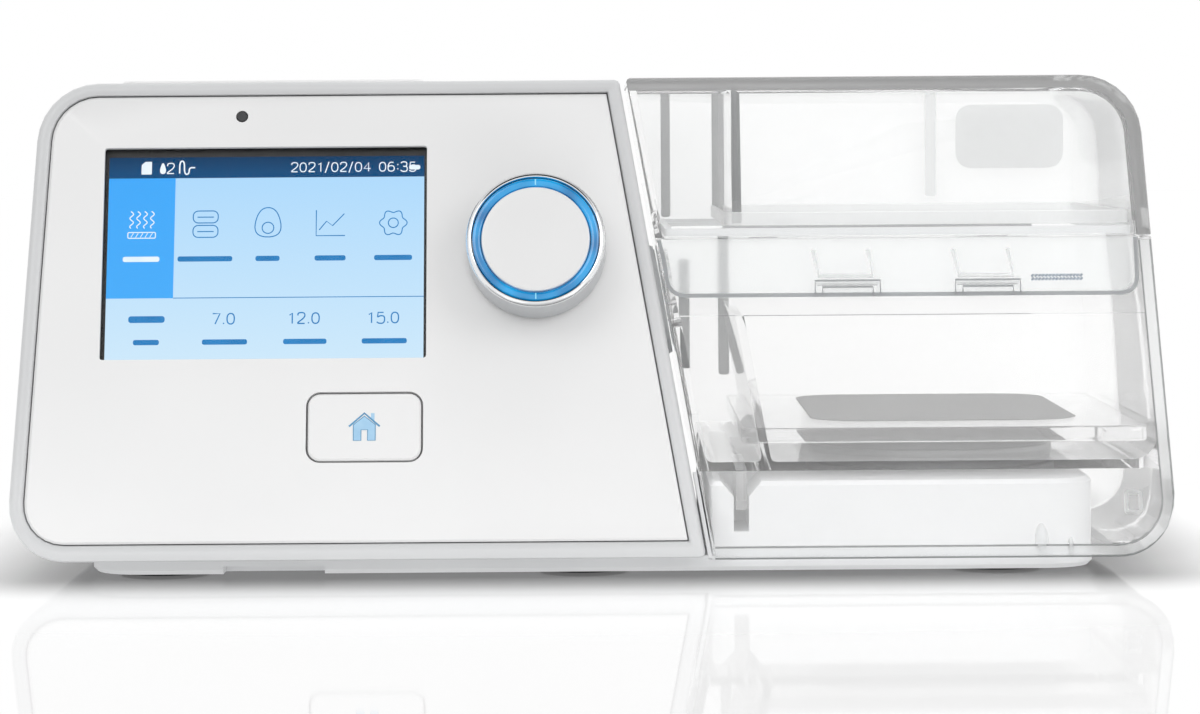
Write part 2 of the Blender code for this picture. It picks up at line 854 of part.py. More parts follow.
def make_rear_cover():
    lip = housing_split_y - overrun
    lip_outside = [wall + clearance] * 4
    inside = [wall + lip_thickness] * 4
    join = housing_split_y + clearance
    rings = [
        upright_ring(body_outline(inside), case_back - wall),
        upright_ring(body_outline(inside), lip),
        upright_ring(body_outline(lip_outside), lip),
        upright_ring(body_outline(lip_outside), join),
        upright_ring(body_outline([0.0] * 4), join),
    ]
    rings += back_rings(body_outline, [0.0] * 4, (1, 1, 1, 1))
    cover = piece("rear_cover", [joined(rings)], "white_abs")
    inner_back = case_back - wall
    pocket_wall = outlet_pocket_radius + pocket_thickness
    frame_low = (filter_left - filter_frame_wall, filter_frame_front, filter_foot - filter_frame_wall)
    frame_high = (filter_right + filter_frame_wall, inner_back + embed, filter_head + filter_frame_wall)
    pocket_front = outlet_pocket_floor - pocket_thickness
    outlet_middle = (outlet_x, 0, outlet_z)
    fuse(cover, "pockets", [
        rod(outlet_middle, "Y", pocket_wall, pocket_front, inner_back + embed, fine_sides),
        block(frame_low, frame_high),
    ])
    grille_back = filter_frame_front + filter_frame_wall
    carve(cover, "openings", [
        rod(outlet_middle, "Y", outlet_pocket_radius, outlet_pocket_floor, case_back + overrun, fine_sides),
        block((filter_left, grille_back, filter_foot), (filter_right, case_back + overrun, filter_head)),
        block((inlet_x - inlet_width / 2 - clearance, inner_back - overrun,
               inlet_z - inlet_height / 2 - clearance),
              (inlet_x + inlet_width / 2 + clearance, case_back + overrun,
               inlet_z + inlet_height / 2 + clearance)),
        block((card_x - card_width / 2 - card_clearance, inner_back - overrun,
               card_z - card_thickness / 2 - card_clearance),
              (card_x + card_width / 2 + card_clearance, case_back + overrun,
               card_z + card_thickness / 2 + card_clearance)),
    ])
    windows = [rod(outlet_middle, "Y", outlet_radius + clearance, pocket_front - overrun,
                   outlet_pocket_floor + overrun)]
    pitch_x = (filter_right - filter_left + grille_bar) / grille_columns
    pitch_z = (filter_head - filter_foot + grille_bar) / grille_rows
    for column in range(grille_columns):
        for row in range(grille_rows):
            x = filter_left + column * pitch_x
            z = filter_foot + row * pitch_z
            low = (x + edge_break, filter_frame_front - overrun, z + edge_break)
            high = (x + pitch_x - grille_bar - edge_break, grille_back + overrun,
                    z + pitch_z - grille_bar - edge_break)
            windows.append(block(low, high))
    carve(cover, "grille", windows)


def make_front_panel(face):
    edges = [width + clearance for width in body_rim]
    broken = [width + panel_edge for width in edges]
    rings = [
        leaning_ring(body_outline(edges), panel_back),
        leaning_ring(body_outline(edges), panel_depth + panel_edge),
        leaning_ring(body_outline(broken), panel_depth),
    ]
    panel = piece("front_panel", [joined(rings)], "panel_abs")
    standoffs = []
    for x in (control_board_left + standoff_inset, control_board_right - standoff_inset):
        for rise in (control_board_foot + standoff_inset, control_board_head - standoff_inset):
            standoffs.append(rod((x, 0, rise), "Y", standoff_radius, panel_back - embed,
                                 control_board_depth - clearance, few_sides))
    fuse(panel, "standoffs", standoffs, face)
    low = (screen_x - screen_width / 2 - window_side_margin,
           screen_rise - screen_height / 2 - window_foot_margin)
    high = (screen_x + screen_width / 2 + window_side_margin,
            screen_rise + screen_height / 2 + window_head_margin)
    home_low = (home_x - home_width / 2 - home_slit, home_rise - home_height / 2 - home_slit)
    home_high = (home_x + home_width / 2 + home_slit, home_rise + home_height / 2 + home_slit)
    carve(panel, "windows", [
        slab(low, high, window_radius, -overrun, panel_back + overrun, upright_ring),
        slab(home_low, home_high, home_radius + home_slit, -overrun, panel_back + overrun, upright_ring),
        rod((knob_x, 0, knob_rise), "Y", shaft_radius + shaft_hole_clearance, -overrun,
            panel_back + overrun),
        rod((sensor_x, 0, sensor_rise), "Y", sensor_radius + clearance, -overrun, panel_back + overrun,
            few_sides),
    ], face)
    land = lens_land + clearance
    step_low = (low[0] - land, low[1] - land)
    step_high = (high[0] + land, high[1] + land)
    step_depth = panel_back - lens_thickness - clearance
    carve(panel, "lens_step",
          [slab(step_low, step_high, window_radius, step_depth, panel_back + overrun,
                upright_ring)], face)
    lens_low = (low[0] - lens_land, low[1] - lens_land)
    lens_high = (high[0] + lens_land, high[1] + lens_land)
    lens = slab(lens_low, lens_high, window_radius, panel_back - lens_thickness, panel_back, upright_ring)
    piece("display_lens", [lens], "black_glass", face)


def make_display(face):
    low = (screen_x - module_width / 2, screen_rise - module_height / 2)
    high = (screen_x + module_width / 2, screen_rise + module_height / 2)
    module = slab(low, high, window_radius, module_depth, module_depth + module_thickness, upright_ring)
    piece("lcd_module", [module], "screen_blue", face)
    front = control_board_depth
    board = slab((control_board_left, control_board_foot), (control_board_right, control_board_head),
                 control_board_radius, front, front + board_thickness, upright_ring)
    piece("control_board", [board], "circuit_green", face)
    sensor = rod((sensor_x, 0, sensor_rise), "Y", sensor_radius, panel_depth + edge_break,
                 front - clearance, few_sides)
    piece("light_sensor", [sensor], "dark_plastic", face)


def make_knob(face):
    knob = empty("knob_frame", (knob_x, 0, knob_rise), parent=face)
    middle = (0, 0, 0)
    board_front = control_board_depth - clearance
    encoder = slab((-encoder_width / 2, -encoder_height / 2), (encoder_width / 2, encoder_height / 2),
                   edge_break, ledge_front, board_front, upright_ring)
    well_floor = ledge_front + encoder_well_depth
    body = piece("encoder_body", [encoder], "steel", knob)
    carve(body, "well", [
        turned(middle, "Y", [
            (encoder_well_radius, ledge_front - overrun), (encoder_well_radius, well_floor),
            (shaft_radius + clearance, well_floor), (shaft_radius + clearance, board_front + overrun)]),
    ], knob)
    plunger_front = well_floor - knob_travel - clearance - plunger_thickness
    plunger = tube(middle, "Y", encoder_well_radius - clearance, shaft_radius + clearance, plunger_front,
                   plunger_front + plunger_thickness)
    piece("encoder_plunger", [plunger], "grey_nylon", knob)
    front = -knob_reach
    back = -knob_shadow + panel_depth
    core_radius = knob_radius - trim_wall - clearance
    shaft = rod(middle, "Y", shaft_radius, front + cap_thickness + shaft_inset,
                board_front - knob_travel - clearance)
    piece("encoder_shaft", [shaft], "steel", knob)
    trim = turned(middle, "Y", [
        (knob_radius, back), (knob_radius, front + trim_edge), (knob_radius - trim_edge, front),
        (knob_radius - trim_wall, front), (knob_radius - trim_wall, back)], closed=True, sides=fine_sides)
    piece("knob_trim", [trim], "bright_chrome", knob)
    ring_front = front + edge_break
    ring = tube(middle, "Y", core_radius, core_radius - light_ring_width, ring_front,
                ring_front + light_ring_depth, fine_sides)
    piece("knob_light_ring", [ring], "light_blue", knob)
    cap_radius = core_radius - light_ring_width - clearance
    cap = turned(middle, "Y", [
        (cap_radius, ring_front + cap_thickness),
        (cap_radius, ring_front + edge_break),
        (cap_radius - edge_break, ring_front),
        (cap_radius * dish_outer_share, ring_front + cap_dish / 2),
        (cap_radius * dish_inner_share, ring_front + cap_dish)], sides=fine_sides)
    piece("knob_cap", [cap], "panel_abs", knob)
    core_front = ring_front + light_ring_depth + clearance
    boss_front = ring_front + cap_thickness + clearance
    steps = [(core_radius, back), (core_radius, core_front), (cap_radius, core_front),
             (cap_radius, boss_front)]
    core = piece("knob_core", [turned(middle, "Y", steps, sides=fine_sides)], "white_abs", knob)
    bore_front = front + cap_thickness + shaft_inset - clearance
    carve(core, "bore", [rod(middle, "Y", shaft_radius + clearance, bore_front, back + overrun)], knob)


def make_home_button(face):
    frame = empty("home_button_frame", (home_x, 0, home_rise), parent=face)
    low = (-home_width / 2, -home_height / 2)
    high = (home_width / 2, home_height / 2)
    front = panel_depth - edge_break
    flange_front = panel_back + clearance
    flange_back = flange_front + home_flange_thickness
    plate = slab(low, high, home_radius, front, flange_back, upright_ring, start_edge=home_edge)
    button = piece("home_button", [plate], "panel_abs", frame)
    reach = home_slit + home_flange
    flange = slab((low[0] - reach, low[1] - reach), (high[0] + reach, high[1] + reach), home_radius + reach,
                  flange_front, flange_back, upright_ring)
    switch_front = control_board_depth - clearance - switch_height
    stem = rod((0, 0, 0), "Y", home_stem_radius, flange_back - edge_break,
               switch_front - clearance - home_travel, few_sides)
    fuse(button, "flange", [flange], frame)
    fuse(button, "stem", [stem], frame)
    half = switch_width / 2
    switch = slab((-half, -half), (half, half), edge_break, switch_front,
                  control_board_depth - clearance, upright_ring)
    piece("home_switch", [switch], "dark_plastic", frame)


def make_start_button():
    low = (bar_left, bar_front)
    high = (bar_right, bar_front + bar_depth)
    ceiling = case_top - wall
    flange_top = ceiling - clearance
    flange_foot = flange_top - bar_flange_thickness
    middle = ((low[0] + high[0]) / 2, (low[1] + high[1]) / 2, 0)
    origin = (middle[0], middle[1], case_top)
    bar = piece("start_stop_button",
                [slab(low, high, bar_radius, flange_foot, case_height, end_edge=bar_edge)],
                "panel_abs", origin=origin)
    flange = slab((low[0] - bar_flange, low[1] - bar_flange), (high[0] + bar_flange, high[1] + bar_flange),
                  bar_radius + bar_flange, flange_foot, flange_top)
    fuse(bar, "flange", [flange])
    fuse(bar, "stem", [rod(middle, "Z", bar_stem_radius, flange_foot - bar_stem_length,
                           flange_foot + embed)])
    board_top = switch_board_top()
    half = switch_width / 2
    switch_foot = board_top + clearance
    switch = slab((middle[0] - half, middle[1] - half), (middle[0] + half, middle[1] + half), edge_break,
                  switch_foot, switch_foot + switch_height)
    piece("start_switch", [switch], "dark_plastic")
    back = switch_post_y() + switch_post_radius
    board = slab((middle[0] - switch_board_width / 2, back - switch_board_depth),
                 (middle[0] + switch_board_width / 2, back),
                 control_board_radius, board_top - board_thickness, board_top)
    piece("switch_board", [board], "circuit_green")


def make_base_tray():
    floor = slab((tray_left, tray_front), (tray_right, tray_back), tray_radius, tray_foot,
                 case_lift - clearance, start_edge=tray_edge)
    tray = piece("base_tray", [floor], "base_abs")
    corners = rectangle((cradle_left, cradle_front), (tray_right, tray_back - clearance))
    outline = rounded_outline(corners,
                              (divider_corner_radius, tray_radius, tray_radius, divider_corner_radius))
    broken = rounded_outline(corners,
                             (divider_corner_radius, tray_radius, tray_radius, divider_corner_radius),
                             [tray_edge] * 4)
    rings = [level_ring(outline, case_lift - clearance - embed),
             level_ring(outline, cradle_top - tray_edge),
             level_ring(broken, cradle_top)]
    fuse(tray, "cradle", [joined(rings)])
    mouth_foot = cradle_top - slot_mouth_height
    slot_back = cradle_front + slot_depth
    heater_floor = cradle_top + heater_rise - heater_thickness - clearance - insulator_thickness - clearance
    cuts = [
        block((slot_left, cradle_front - overrun, slot_foot),
              (slot_right, slot_back, cradle_top + overrun)),
        rod((heater_x, heater_y, 0), "Z", heater_radius + heater_clearance, heater_floor,
            cradle_top + overrun, fine_sides),
        block((tray_notch_left, tray_front - overrun, tray_foot - overrun),
              (tray_notch_right, tray_front + tray_notch_depth, tray_foot + tray_notch_height)),
    ]
    for x in foot_xs:
        for y in foot_ys:
            cuts.append(rod((x, y, 0), "Z", foot_radius + clearance, tray_foot - overrun,
                            foot_height + clearance))
    carve(tray, "recesses", cuts)
    grow = slot_mouth * overrun / slot_mouth_height
    rims = ((mouth_foot, 0.0), (cradle_top + overrun, slot_mouth + grow))
    mouth = [
        [Vector((slot_left - spread, cradle_front - overrun, z)),
         Vector((slot_right + spread, cradle_front - overrun, z)),
         Vector((slot_right + spread, slot_back + edge_break, z)),
         Vector((slot_left - spread, slot_back + edge_break, z))]
        for z, spread in rims
    ]
    carve(tray, "slot_mouth", [joined(mouth)])
    holes = []
    head_top = tray_foot + clearance + screw_head_height + clearance
    for x in screw_xs:
        for y in screw_ys:
            holes.append(turned((x, y, 0), "Z", [
                (screw_head_radius + clearance, tray_foot - overrun),
                (screw_head_radius + clearance, head_top),
                (screw_radius + clearance, head_top), (screw_radius + clearance, case_lift + overrun)]))
    carve(tray, "screw_holes", holes)


def make_feet_and_screws():
    number = 0
    for y in foot_ys:
        for x in foot_xs:
            number += 1
            foot = turned((x, y, 0), "Z",
                          [(foot_radius - foot_edge, 0), (foot_radius, foot_edge),
                           (foot_radius, foot_height)])
            piece(f"foot_{number}", [foot], "black_rubber")
    number = 0
    head_foot = tray_foot + clearance
    head_top = head_foot + screw_head_height
    for y in screw_ys:
        for x in screw_xs:
            number += 1
            profile = [(screw_head_radius, head_foot), (screw_head_radius, head_top),
                       (screw_radius, head_top),
                       (screw_radius, head_top + screw_length)]
            piece(f"tray_screw_{number}", [turned((x, y, 0), "Z", profile, sides=few_sides)], "steel")


def make_heater():
    middle = (heater_x, heater_y, 0)
    top = cradle_top + heater_rise
    foot = top - heater_thickness
    plate = turned(middle, "Z",
                   [(heater_radius, foot), (heater_radius, top - heater_edge),
                    (heater_radius - heater_edge, top)],
                   sides=fine_sides)
    piece("heater_plate", [plate], "aluminium")
    rim = foot - clearance
    insulator = turned(middle, "Z", [
        (heater_radius, rim - insulator_thickness), (heater_radius, rim),
        (insulator_core_radius, rim), (insulator_core_radius, rim - insulator_dish)])
    piece("heater_insulator", [insulator], "grey_nylon")


def make_supports_for_air(seals):
    start = Vector((blower_x + outlet_stub_length + clearance, channel_y(), channel_z()))
    square = Vector((math.cos(divider_angle), 0, math.sin(divider_angle)))
    inner = wall + seal_inner_reach + clearance
    supply_end = Vector((divider_x(seal_rise), supply_seal_y, seal_rise)) - square * (inner + clearance)
    supply = bent_tube(start, Vector((1, 0, 0)), supply_end, square, duct_radius, duct_bore)
    piece("supply_duct", [supply], "grey_nylon")
    return_start = Vector((divider_x(seal_rise), return_seal_y, seal_rise)) - square * (inner + clearance)
    port_front = outlet_pocket_floor - pocket_thickness - clearance - outlet_flange_thickness
    return_end = Vector((outlet_x, port_front - clearance, outlet_z))
    back = bent_tube(return_start, -square, return_end, Vector((0, 1, 0)), duct_radius, duct_bore)
    piece("return_duct", [back], "grey_nylon")
    flange_end = tank_gap_square - clearance
    for name, frame in seals.items():
        inside = -wall - clearance
        profile = [
            (duct_bore, -inner), (seal_flange_radius, -inner),
            (seal_flange_radius, inside), (seal_sleeve_radius, inside),
            (seal_sleeve_radius, clearance), (seal_flange_radius, clearance),
            (seal_flange_radius - seal_edge, flange_end), (duct_bore, flange_end)]
        piece(f"{name}_seal", [turned((0, 0, 0), "X", profile, closed=True)], "clear_silicone", frame)
    port = turned((outlet_x, 0, outlet_z), "Y", [
        (outlet_bore, port_front), (outlet_flange_radius, port_front),
        (outlet_flange_radius, port_front + outlet_flange_thickness),
        (outlet_radius, port_front + outlet_flange_thickness),
        (outlet_tip_radius, case_depth / 2 - outlet_edge),
        (outlet_tip_radius - outlet_edge, case_depth / 2),
        (outlet_bore, case_depth / 2)], closed=True)
    piece("outlet_port", [port], "grey_nylon")


def channel_y():
    return blower_y - scroll_start_radius - scroll_growth / 2


def channel_z():
    return blower_foot + scroll_wall + scroll_height / 2


def scroll_outline(extra):
    # the radius grows evenly through one turn that starts and ends at the front
    outline = []
    for step in range(scroll_steps + 1):
        share = step / scroll_steps
        angle = 2 * math.pi * share - math.pi / 2
        radius = scroll_start_radius + scroll_growth * share + extra
        outline.append(Vector((blower_x + radius * math.cos(angle), blower_y + radius * math.sin(angle))))
    return outline


def make_blower():
    floor_top = blower_foot + scroll_wall
    top = floor_top + scroll_height
    outside = scroll_outline(scroll_wall)
    base = piece("blower_base", [joined([level_ring(outside, blower_foot), level_ring(outside, top)])],
                 "grey_nylon")
    half = scroll_growth / 2 + scroll_wall
    channel_end = blower_x + channel_length
    channel = block((blower_x - scroll_wall, channel_y() - half, blower_foot),
                    (channel_end, channel_y() + half, top))
    fuse(base, "channel", [channel])
    stub = rod((0, channel_y(), channel_z()), "X", duct_radius, channel_end - overrun,
               blower_x + outlet_stub_length)
    fuse(base, "stub", [stub])
    ears = [rod((x, y, blower_foot), "Z", ear_radius, 0, ear_height) for x, y in ear_places(ear_spread)]
    roots = []
    for x, y in ear_places(ear_root_spread):
        roots.append(rod((x, y, blower_foot), "Z", ear_root_radius, 0, ear_height))
    fuse(base, "ear_roots", roots)
    fuse(base, "ears", ears)
    inside = scroll_outline(0.0)
    carve(base, "scroll", [joined([level_ring(inside, floor_top), level_ring(inside, top + overrun)])])
    bore = rod((0, channel_y(), channel_z()), "X", stub_bore, blower_x - overrun,
               blower_x + outlet_stub_length + overrun)
    carve(base, "bore", [bore])
    centre = (blower_x, blower_y, 0)
    carve(base, "shaft_hole",
          [rod(centre, "Z", rotor_shaft_radius + rotor_clearance, blower_foot - overrun,
               floor_top + embed)])
    cover_foot = top + clearance
    cover_top = cover_foot + blower_cover_thickness
    cover_rings = [level_ring(outside, cover_foot), level_ring(outside, cover_top)]
    cover = piece("blower_cover", [joined(cover_rings)], "grey_nylon")
    ring = rod(centre, "Z", inlet_ring_bore + scroll_wall, cover_top - embed, cover_top + inlet_ring_height)
    fuse(cover, "inlet_ring", [ring])
    carve(cover, "inlet",
          [rod(centre, "Z", inlet_ring_bore, cover_foot - overrun,
               cover_top + inlet_ring_height + overrun)])
    motor_top = blower_foot - clearance
    motor = turned(centre, "Z", [
        (motor_radius - motor_edge, motor_top - motor_height),
        (motor_radius, motor_top - motor_height + motor_edge),
        (motor_radius, motor_top), (rotor_shaft_radius + clearance, motor_top),
        (rotor_shaft_radius + clearance, motor_top - motor_height)], closed=True)
    piece("blower_motor", [motor], "steel")
    for number, (x, y) in enumerate(ear_places(ear_spread), 1):
        foot = blower_foot - clearance - grommet_height
        grommet = turned((x, y, foot), "Z", [
            (ear_radius, 0), (ear_radius, grommet_flange), (grommet_waist, grommet_flange + grommet_slope),
            (grommet_waist, grommet_height - grommet_flange - grommet_slope),
            (ear_radius, grommet_height - grommet_flange), (ear_radius, grommet_height)], sides=few_sides)
        piece(f"blower_grommet_{number}", [grommet], "black_rubber")
    return floor_top, cover_top


def make_rotor(floor_top):
    centre = (blower_x, blower_y, 0)
    disc_foot = floor_top + impeller_float
    disc_top = disc_foot + impeller_disc_thickness
    blade_top = disc_top + blade_height
    origin = (blower_x, blower_y, disc_foot)
    shaft = rod(centre, "Z", rotor_shaft_radius, rotor_shaft_foot, blade_top - shaft_drop, few_sides)
    piece("motor_shaft", [shaft], "steel", origin=origin)
    disc = turned(centre, "Z", [
        (impeller_radius, disc_foot), (impeller_radius, disc_top),
        (hub_radius, disc_top), (hub_top_radius, disc_top + hub_height)])
    impeller = piece("impeller", [disc], "white_abs", origin=origin)
    blades = []
    for number in range(blade_count):
        turn = 2 * math.pi * number / blade_count
        rings = []
        for step in range(blade_steps + 1):
            share = step / blade_steps
            radius = blade_root_radius + (impeller_radius - edge_break - blade_root_radius) * share
            angle = turn - blade_sweep * share
            outward = Vector((math.cos(angle), math.sin(angle), 0))
            across = Vector((-outward.y, outward.x, 0)) * blade_thickness / 2
            place = Vector((blower_x, blower_y, 0)) + outward * radius
            foot = Vector((0, 0, disc_top - embed))
            head = Vector((0, 0, blade_top))
            rings.append([place - across + foot, place + across + foot, place + across + head,
                          place - across + head])
        blades.append(joined(rings))
    fuse(impeller, "blades", blades)
    bore = rod(centre, "Z", rotor_shaft_radius + clearance, disc_foot - overrun, blade_top + overrun,
               few_sides)
    carve(impeller, "bore", [bore])


def make_muffler_and_filter(cover_top):
    foot = cover_top + clearance
    foam = piece("muffler_foam", [slab((foam_left, foam_front), (foam_right, foam_back), foam_radius,
                                       foot, foot + foam_height)],
                 "grey_foam")
    hole = inlet_ring_bore + scroll_wall + clearance
    carve(foam, "hole",
          [rod((blower_x, blower_y, 0), "Z", hole, foot - overrun, foot + foam_height + overrun)])
    cover_front = case_back - filter_cover_thickness
    pad_low = (filter_left + clearance, filter_frame_front + filter_frame_wall + clearance,
               filter_foot + clearance)
    pad_high = (filter_right - clearance, cover_front - clearance, filter_head - clearance)
    piece("air_filter", [block(pad_low, pad_high)], "white_foam")
    hinge = (0, case_back, filter_foot + clearance / 2)
    low = (filter_left + clearance, filter_foot + clearance)
    high = (filter_right - clearance, filter_head - clearance)
    cover = piece("filter_cover", [slab(low, high, edge_break, cover_front, case_back, upright_ring,
                                        end_edge=edge_break)],
                  "white_abs", origin=hinge)
    pitch = (high[1] - low[1]) / (vent_count + 1)
    vents = []
    for number in range(vent_count):
        z = low[1] + pitch * (number + 1)
        vents.append(slab((low[0] + vent_side_margin, z - vent_height / 2),
                          (high[0] - vent_side_margin, z + vent_height / 2),
                          vent_radius, cover_front - overrun, case_back + overrun, upright_ring))
    carve(cover, "vents", vents)


def make_inlet_and_card():
    low = (inlet_x - inlet_width / 2, inlet_z - inlet_height / 2)
    high = (inlet_x + inlet_width / 2, inlet_z + inlet_height / 2)
    inlet = piece("dc_inlet", [slab(low, high, edge_break, case_back - inlet_length, case_back,
                                    upright_ring)], "dark_plastic")
    bore_floor = case_back - inlet_bore_depth
    middle = (inlet_x, 0, inlet_z)
    carve(inlet, "bore", [tube(middle, "Y", inlet_bore, inlet_pin_radius, bore_floor,
                               case_back - inlet_pin_inset)])
    carve(inlet, "mouth", [rod(middle, "Y", inlet_bore, case_back - inlet_pin_inset - edge_break,
                               case_back + overrun)])
    low = (card_x - card_width / 2 - clearance - socket_wall,
           card_z - card_thickness / 2 - clearance - socket_wall)
    high = (card_x + card_width / 2 + clearance + socket_wall,
            card_z + card_thickness / 2 + clearance + socket_wall)
    socket_back = case_back - wall - clearance
    socket = piece("card_socket", [slab(low, high, edge_break, socket_back - socket_length, socket_back,
                                        upright_ring)], "steel")
    card_back = case_back + card_proud
    card_front = card_back - card_length
    slot_low = (card_x - card_width / 2 - clearance, card_front - clearance,
                card_z - card_thickness / 2 - clearance)
    slot_high = (card_x + card_width / 2 + clearance, socket_back + overrun,
                 card_z + card_thickness / 2 + clearance)
    carve(socket, "slot", [block(slot_low, slot_high)])
    left = card_x - card_width / 2
    right = card_x + card_width / 2
    outline = [(left, card_front), (right - card_corner, card_front), (right, card_front + card_corner),
               (right, card_back), (left, card_back)]
    rings = [[Vector((x, y, card_z + side * card_thickness / 2)) for x, y in outline] for side in (-1, 1)]
    piece("memory_card", [joined(rings)], "blue_card", origin=(card_x, card_back, card_z))


def make_main_board():
    low = (main_board_x, main_board_front, main_board_foot)
    high = (main_board_x + board_thickness, main_board_back, main_board_head)
    board = piece("main_board", [block(low, high)], "circuit_green")
    surface = main_board_x + board_thickness - edge_break
    width = main_board_back - main_board_front
    height = main_board_head - main_board_foot
    # left, foot, right and head of each part on the board
    part_shares = ((0.10, 0.80, 0.34, 0.92), (0.55, 0.74, 0.82, 0.94), (0.18, 0.46, 0.42, 0.66),
                   (0.36, 0.02, 0.66, 0.10))
    parts = []
    for left, foot, right, head in part_shares:
        parts.append(block((surface, main_board_front + left * width, main_board_foot + foot * height),
                           (surface + part_height, main_board_front + right * width,
                            main_board_foot + head * height)))
    fuse(board, "parts", parts)


def tank_cut(low, high, left_at, right_at, depth, back, radii):
    corners = [(left_at(low), low), (right_at(low), low), (right_at(high), high), (left_at(high), high)]
    outline = rounded_outline(corners, radii)
    return joined([leaning_ring(outline, depth), upright_ring(outline, back)])


def make_tank(seals, face, tank_frame):
    def outline_at(insets):
        return rounded_outline(tank_corners(case_lift, tank_top), tank_radii, list(insets))

    slant = tank_wall / math.cos(divider_angle)
    passage_right = slant + passage_width
    rings = tank_front_rings(outline_at)
    rings += back_rings(outline_at, [0.0] * 4, (1, 1, 0, 1))
    tank = piece("water_tank", [joined(rings)], "clear_plastic", tank_frame)
    back = case_back - tank_wall
    knuckle_z = hinge_place()[2]
    knuckles = []
    for x in hinge_xs:
        half = hinge_tank_width / 2
        knuckles.append(rod((x, hinge_place()[1], knuckle_z), "X", hinge_radius, -half, half))
    fuse(tank, "knuckles", knuckles, tank_frame)
    webs = []
    for x in hinge_xs:
        half = hinge_tank_width / 2 - edge_break
        low = (x - half, back + embed, knuckle_z - hinge_radius + edge_break)
        webs.append(block(low, (x + half, hinge_place()[1], tank_top - edge_break)))
    fuse(tank, "webs", webs, tank_frame)
    passage = tank_cut(tank_floor, partition_top + clearance, lambda z: tank_left_x(z) + slant,
                       lambda z: tank_left_x(z) + passage_right, tank_wall, back, cavity_radii)
    chamber = tank_cut(tank_floor, partition_top + clearance,
                       lambda z: tank_left_x(z) + passage_right + partition_thickness,
                       lambda z: side_x(z) - tank_wall, tank_wall, back,
                       (divider_corner_radius, chamber_corner_radius, 0, 0))
    carve(tank, "chambers", [passage, chamber], tank_frame)
    upper_depth = flap_thickness + clearance + tank_wall + clearance
    upper = tank_cut(partition_top, tank_top + overrun, lambda z: tank_left_x(z) + slant - edge_break,
                     lambda z: side_x(z) - tank_wall + edge_break, upper_depth, back + edge_break,
                     square_corners)
    carve(tank, "mouth", [upper], tank_frame)
    skirt_top = tank_floor - tank_floor_thickness
    skirt = tank_cut(case_lift + tank_wall, skirt_top, lambda z: tank_left_x(z) - overrun,
                     lambda z: side_x(z) - tank_wall,
                     tank_wall, back, (0, bottom_corner_radius - tank_wall, 0, 0))
    carve(tank, "skirt", [skirt], tank_frame)
    opening = tank_cut(case_lift - overrun, case_lift + tank_wall + embed,
                       lambda z: tank_left_x(z) - overrun,
                       lambda z: side_x(case_lift) - tank_skirt_edge, tank_wall + edge_break,
                       back - edge_break, square_corners)
    carve(tank, "skirt_opening", [opening], tank_frame)
    rib = block((slot_left + rib_wall, cradle_front, rib_foot),
                (slot_right - rib_wall, cradle_front + slot_depth - rib_wall, skirt_top + embed))
    fuse(tank, "rib", [rib], tank_frame)
    plate_hole = rod((heater_x, heater_y, 0), "Z", tank_plate_hole, skirt_top - overrun,
                     tank_floor + overrun, fine_sides)
    carve(tank, "plate_hole", [plate_hole], tank_frame)
    recess = flap_lump(-clearance, 0.0, flap_thickness + clearance)
    carve(tank, "flap_recess", [recess], tank_frame)
    catches = []
    for left in catch_left_edges:
        foot = (catch_foot + clearance - case_lift) / math.cos(face_lean)
        head = foot + catch_height - catch_clearance
        catches.append(block((left + catch_clearance, flap_thickness + clearance - catch_reach, foot),
                             (left + catch_width - catch_clearance, flap_thickness + clearance + embed,
                              head)))
    fuse(tank, "catches", catches, face)
    for name, frame in seals.items():
        hole = rod((0, 0, 0), "X", duct_bore, 0, tank_gap_square + tank_wall + overrun)
        carve(tank, f"{name}_hole", [hole], frame)
    carve(tank, "pin_bore", [hinge_bore()], tank_frame)


def tank_front_rings(outline_at):
    # the flat front, then a convex band that is wide at the foot and the right side
    rings = [leaning_ring(outline_at(tank_rim), panel_depth)]
    for step in range(1, rim_steps + 1):
        angle = math.pi * step / rim_steps
        inward = [width * (1 + math.cos(angle)) / 2 for width in tank_rim]
        rings.append(leaning_ring(outline_at(inward), rim_crown * (1 - math.sin(angle))))
    return rings


def flap_lump(inset, depth, thickness):
    # the latch flap's outline grown by -inset; a recess also runs on past the top and the front
    grow = -inset
    low = flap_foot - grow
    reach = overrun if grow else 0.0
    high = tank_top + reach
    left_inset = flap_left_inset - (grow + edge_break if grow else 0.0)
    corners = [(tank_left_x(low) + left_inset, low), (side_x(low) - flap_right_inset + grow, low),
               (side_x(high) - flap_right_inset + grow, high), (tank_left_x(high) + left_inset, high)]
    radii = (flap_radius + grow, flap_radius + grow, edge_break, edge_break)
    outline = rounded_outline(corners, radii)
    if grow:
        return joined([leaning_ring(outline, depth - reach), leaning_ring(outline, thickness)])
    broken = rounded_outline(corners, radii, [flap_edge, flap_edge, 0.0, 0.0])
    return joined([leaning_ring(broken, depth), leaning_ring(outline, depth + flap_edge),
                   leaning_ring(outline, thickness)])


def hinge_place():
    return (0, case_depth / 2 - hinge_radius, tank_top + clearance / 2)


def hinge_bore():
    x, y, z = hinge_place()
    return rod((0, y, z), "X", hinge_pin_radius + clearance, hinge_xs[0] - hinge_bore_reach,
               hinge_xs[1] + hinge_bore_reach)


def make_tank_base(tank_frame):
    middle = (heater_x, heater_y, 0)
    plate_top = tank_floor - tank_floor_thickness - clearance
    plate = rod(middle, "Z", tank_plate_radius, plate_top - tank_plate_thickness, plate_top, fine_sides)
    piece("tank_plate", [plate], "steel", tank_frame)
    seal_radius = tank_plate_hole - clearance
    seal_foot = plate_top + clearance
    seal = tube(middle, "Z", seal_radius, seal_radius - seal_ring_width, seal_foot,
                seal_foot + seal_ring_height, fine_sides)
    piece("tank_plate_seal", [seal], "clear_silicone", tank_frame)


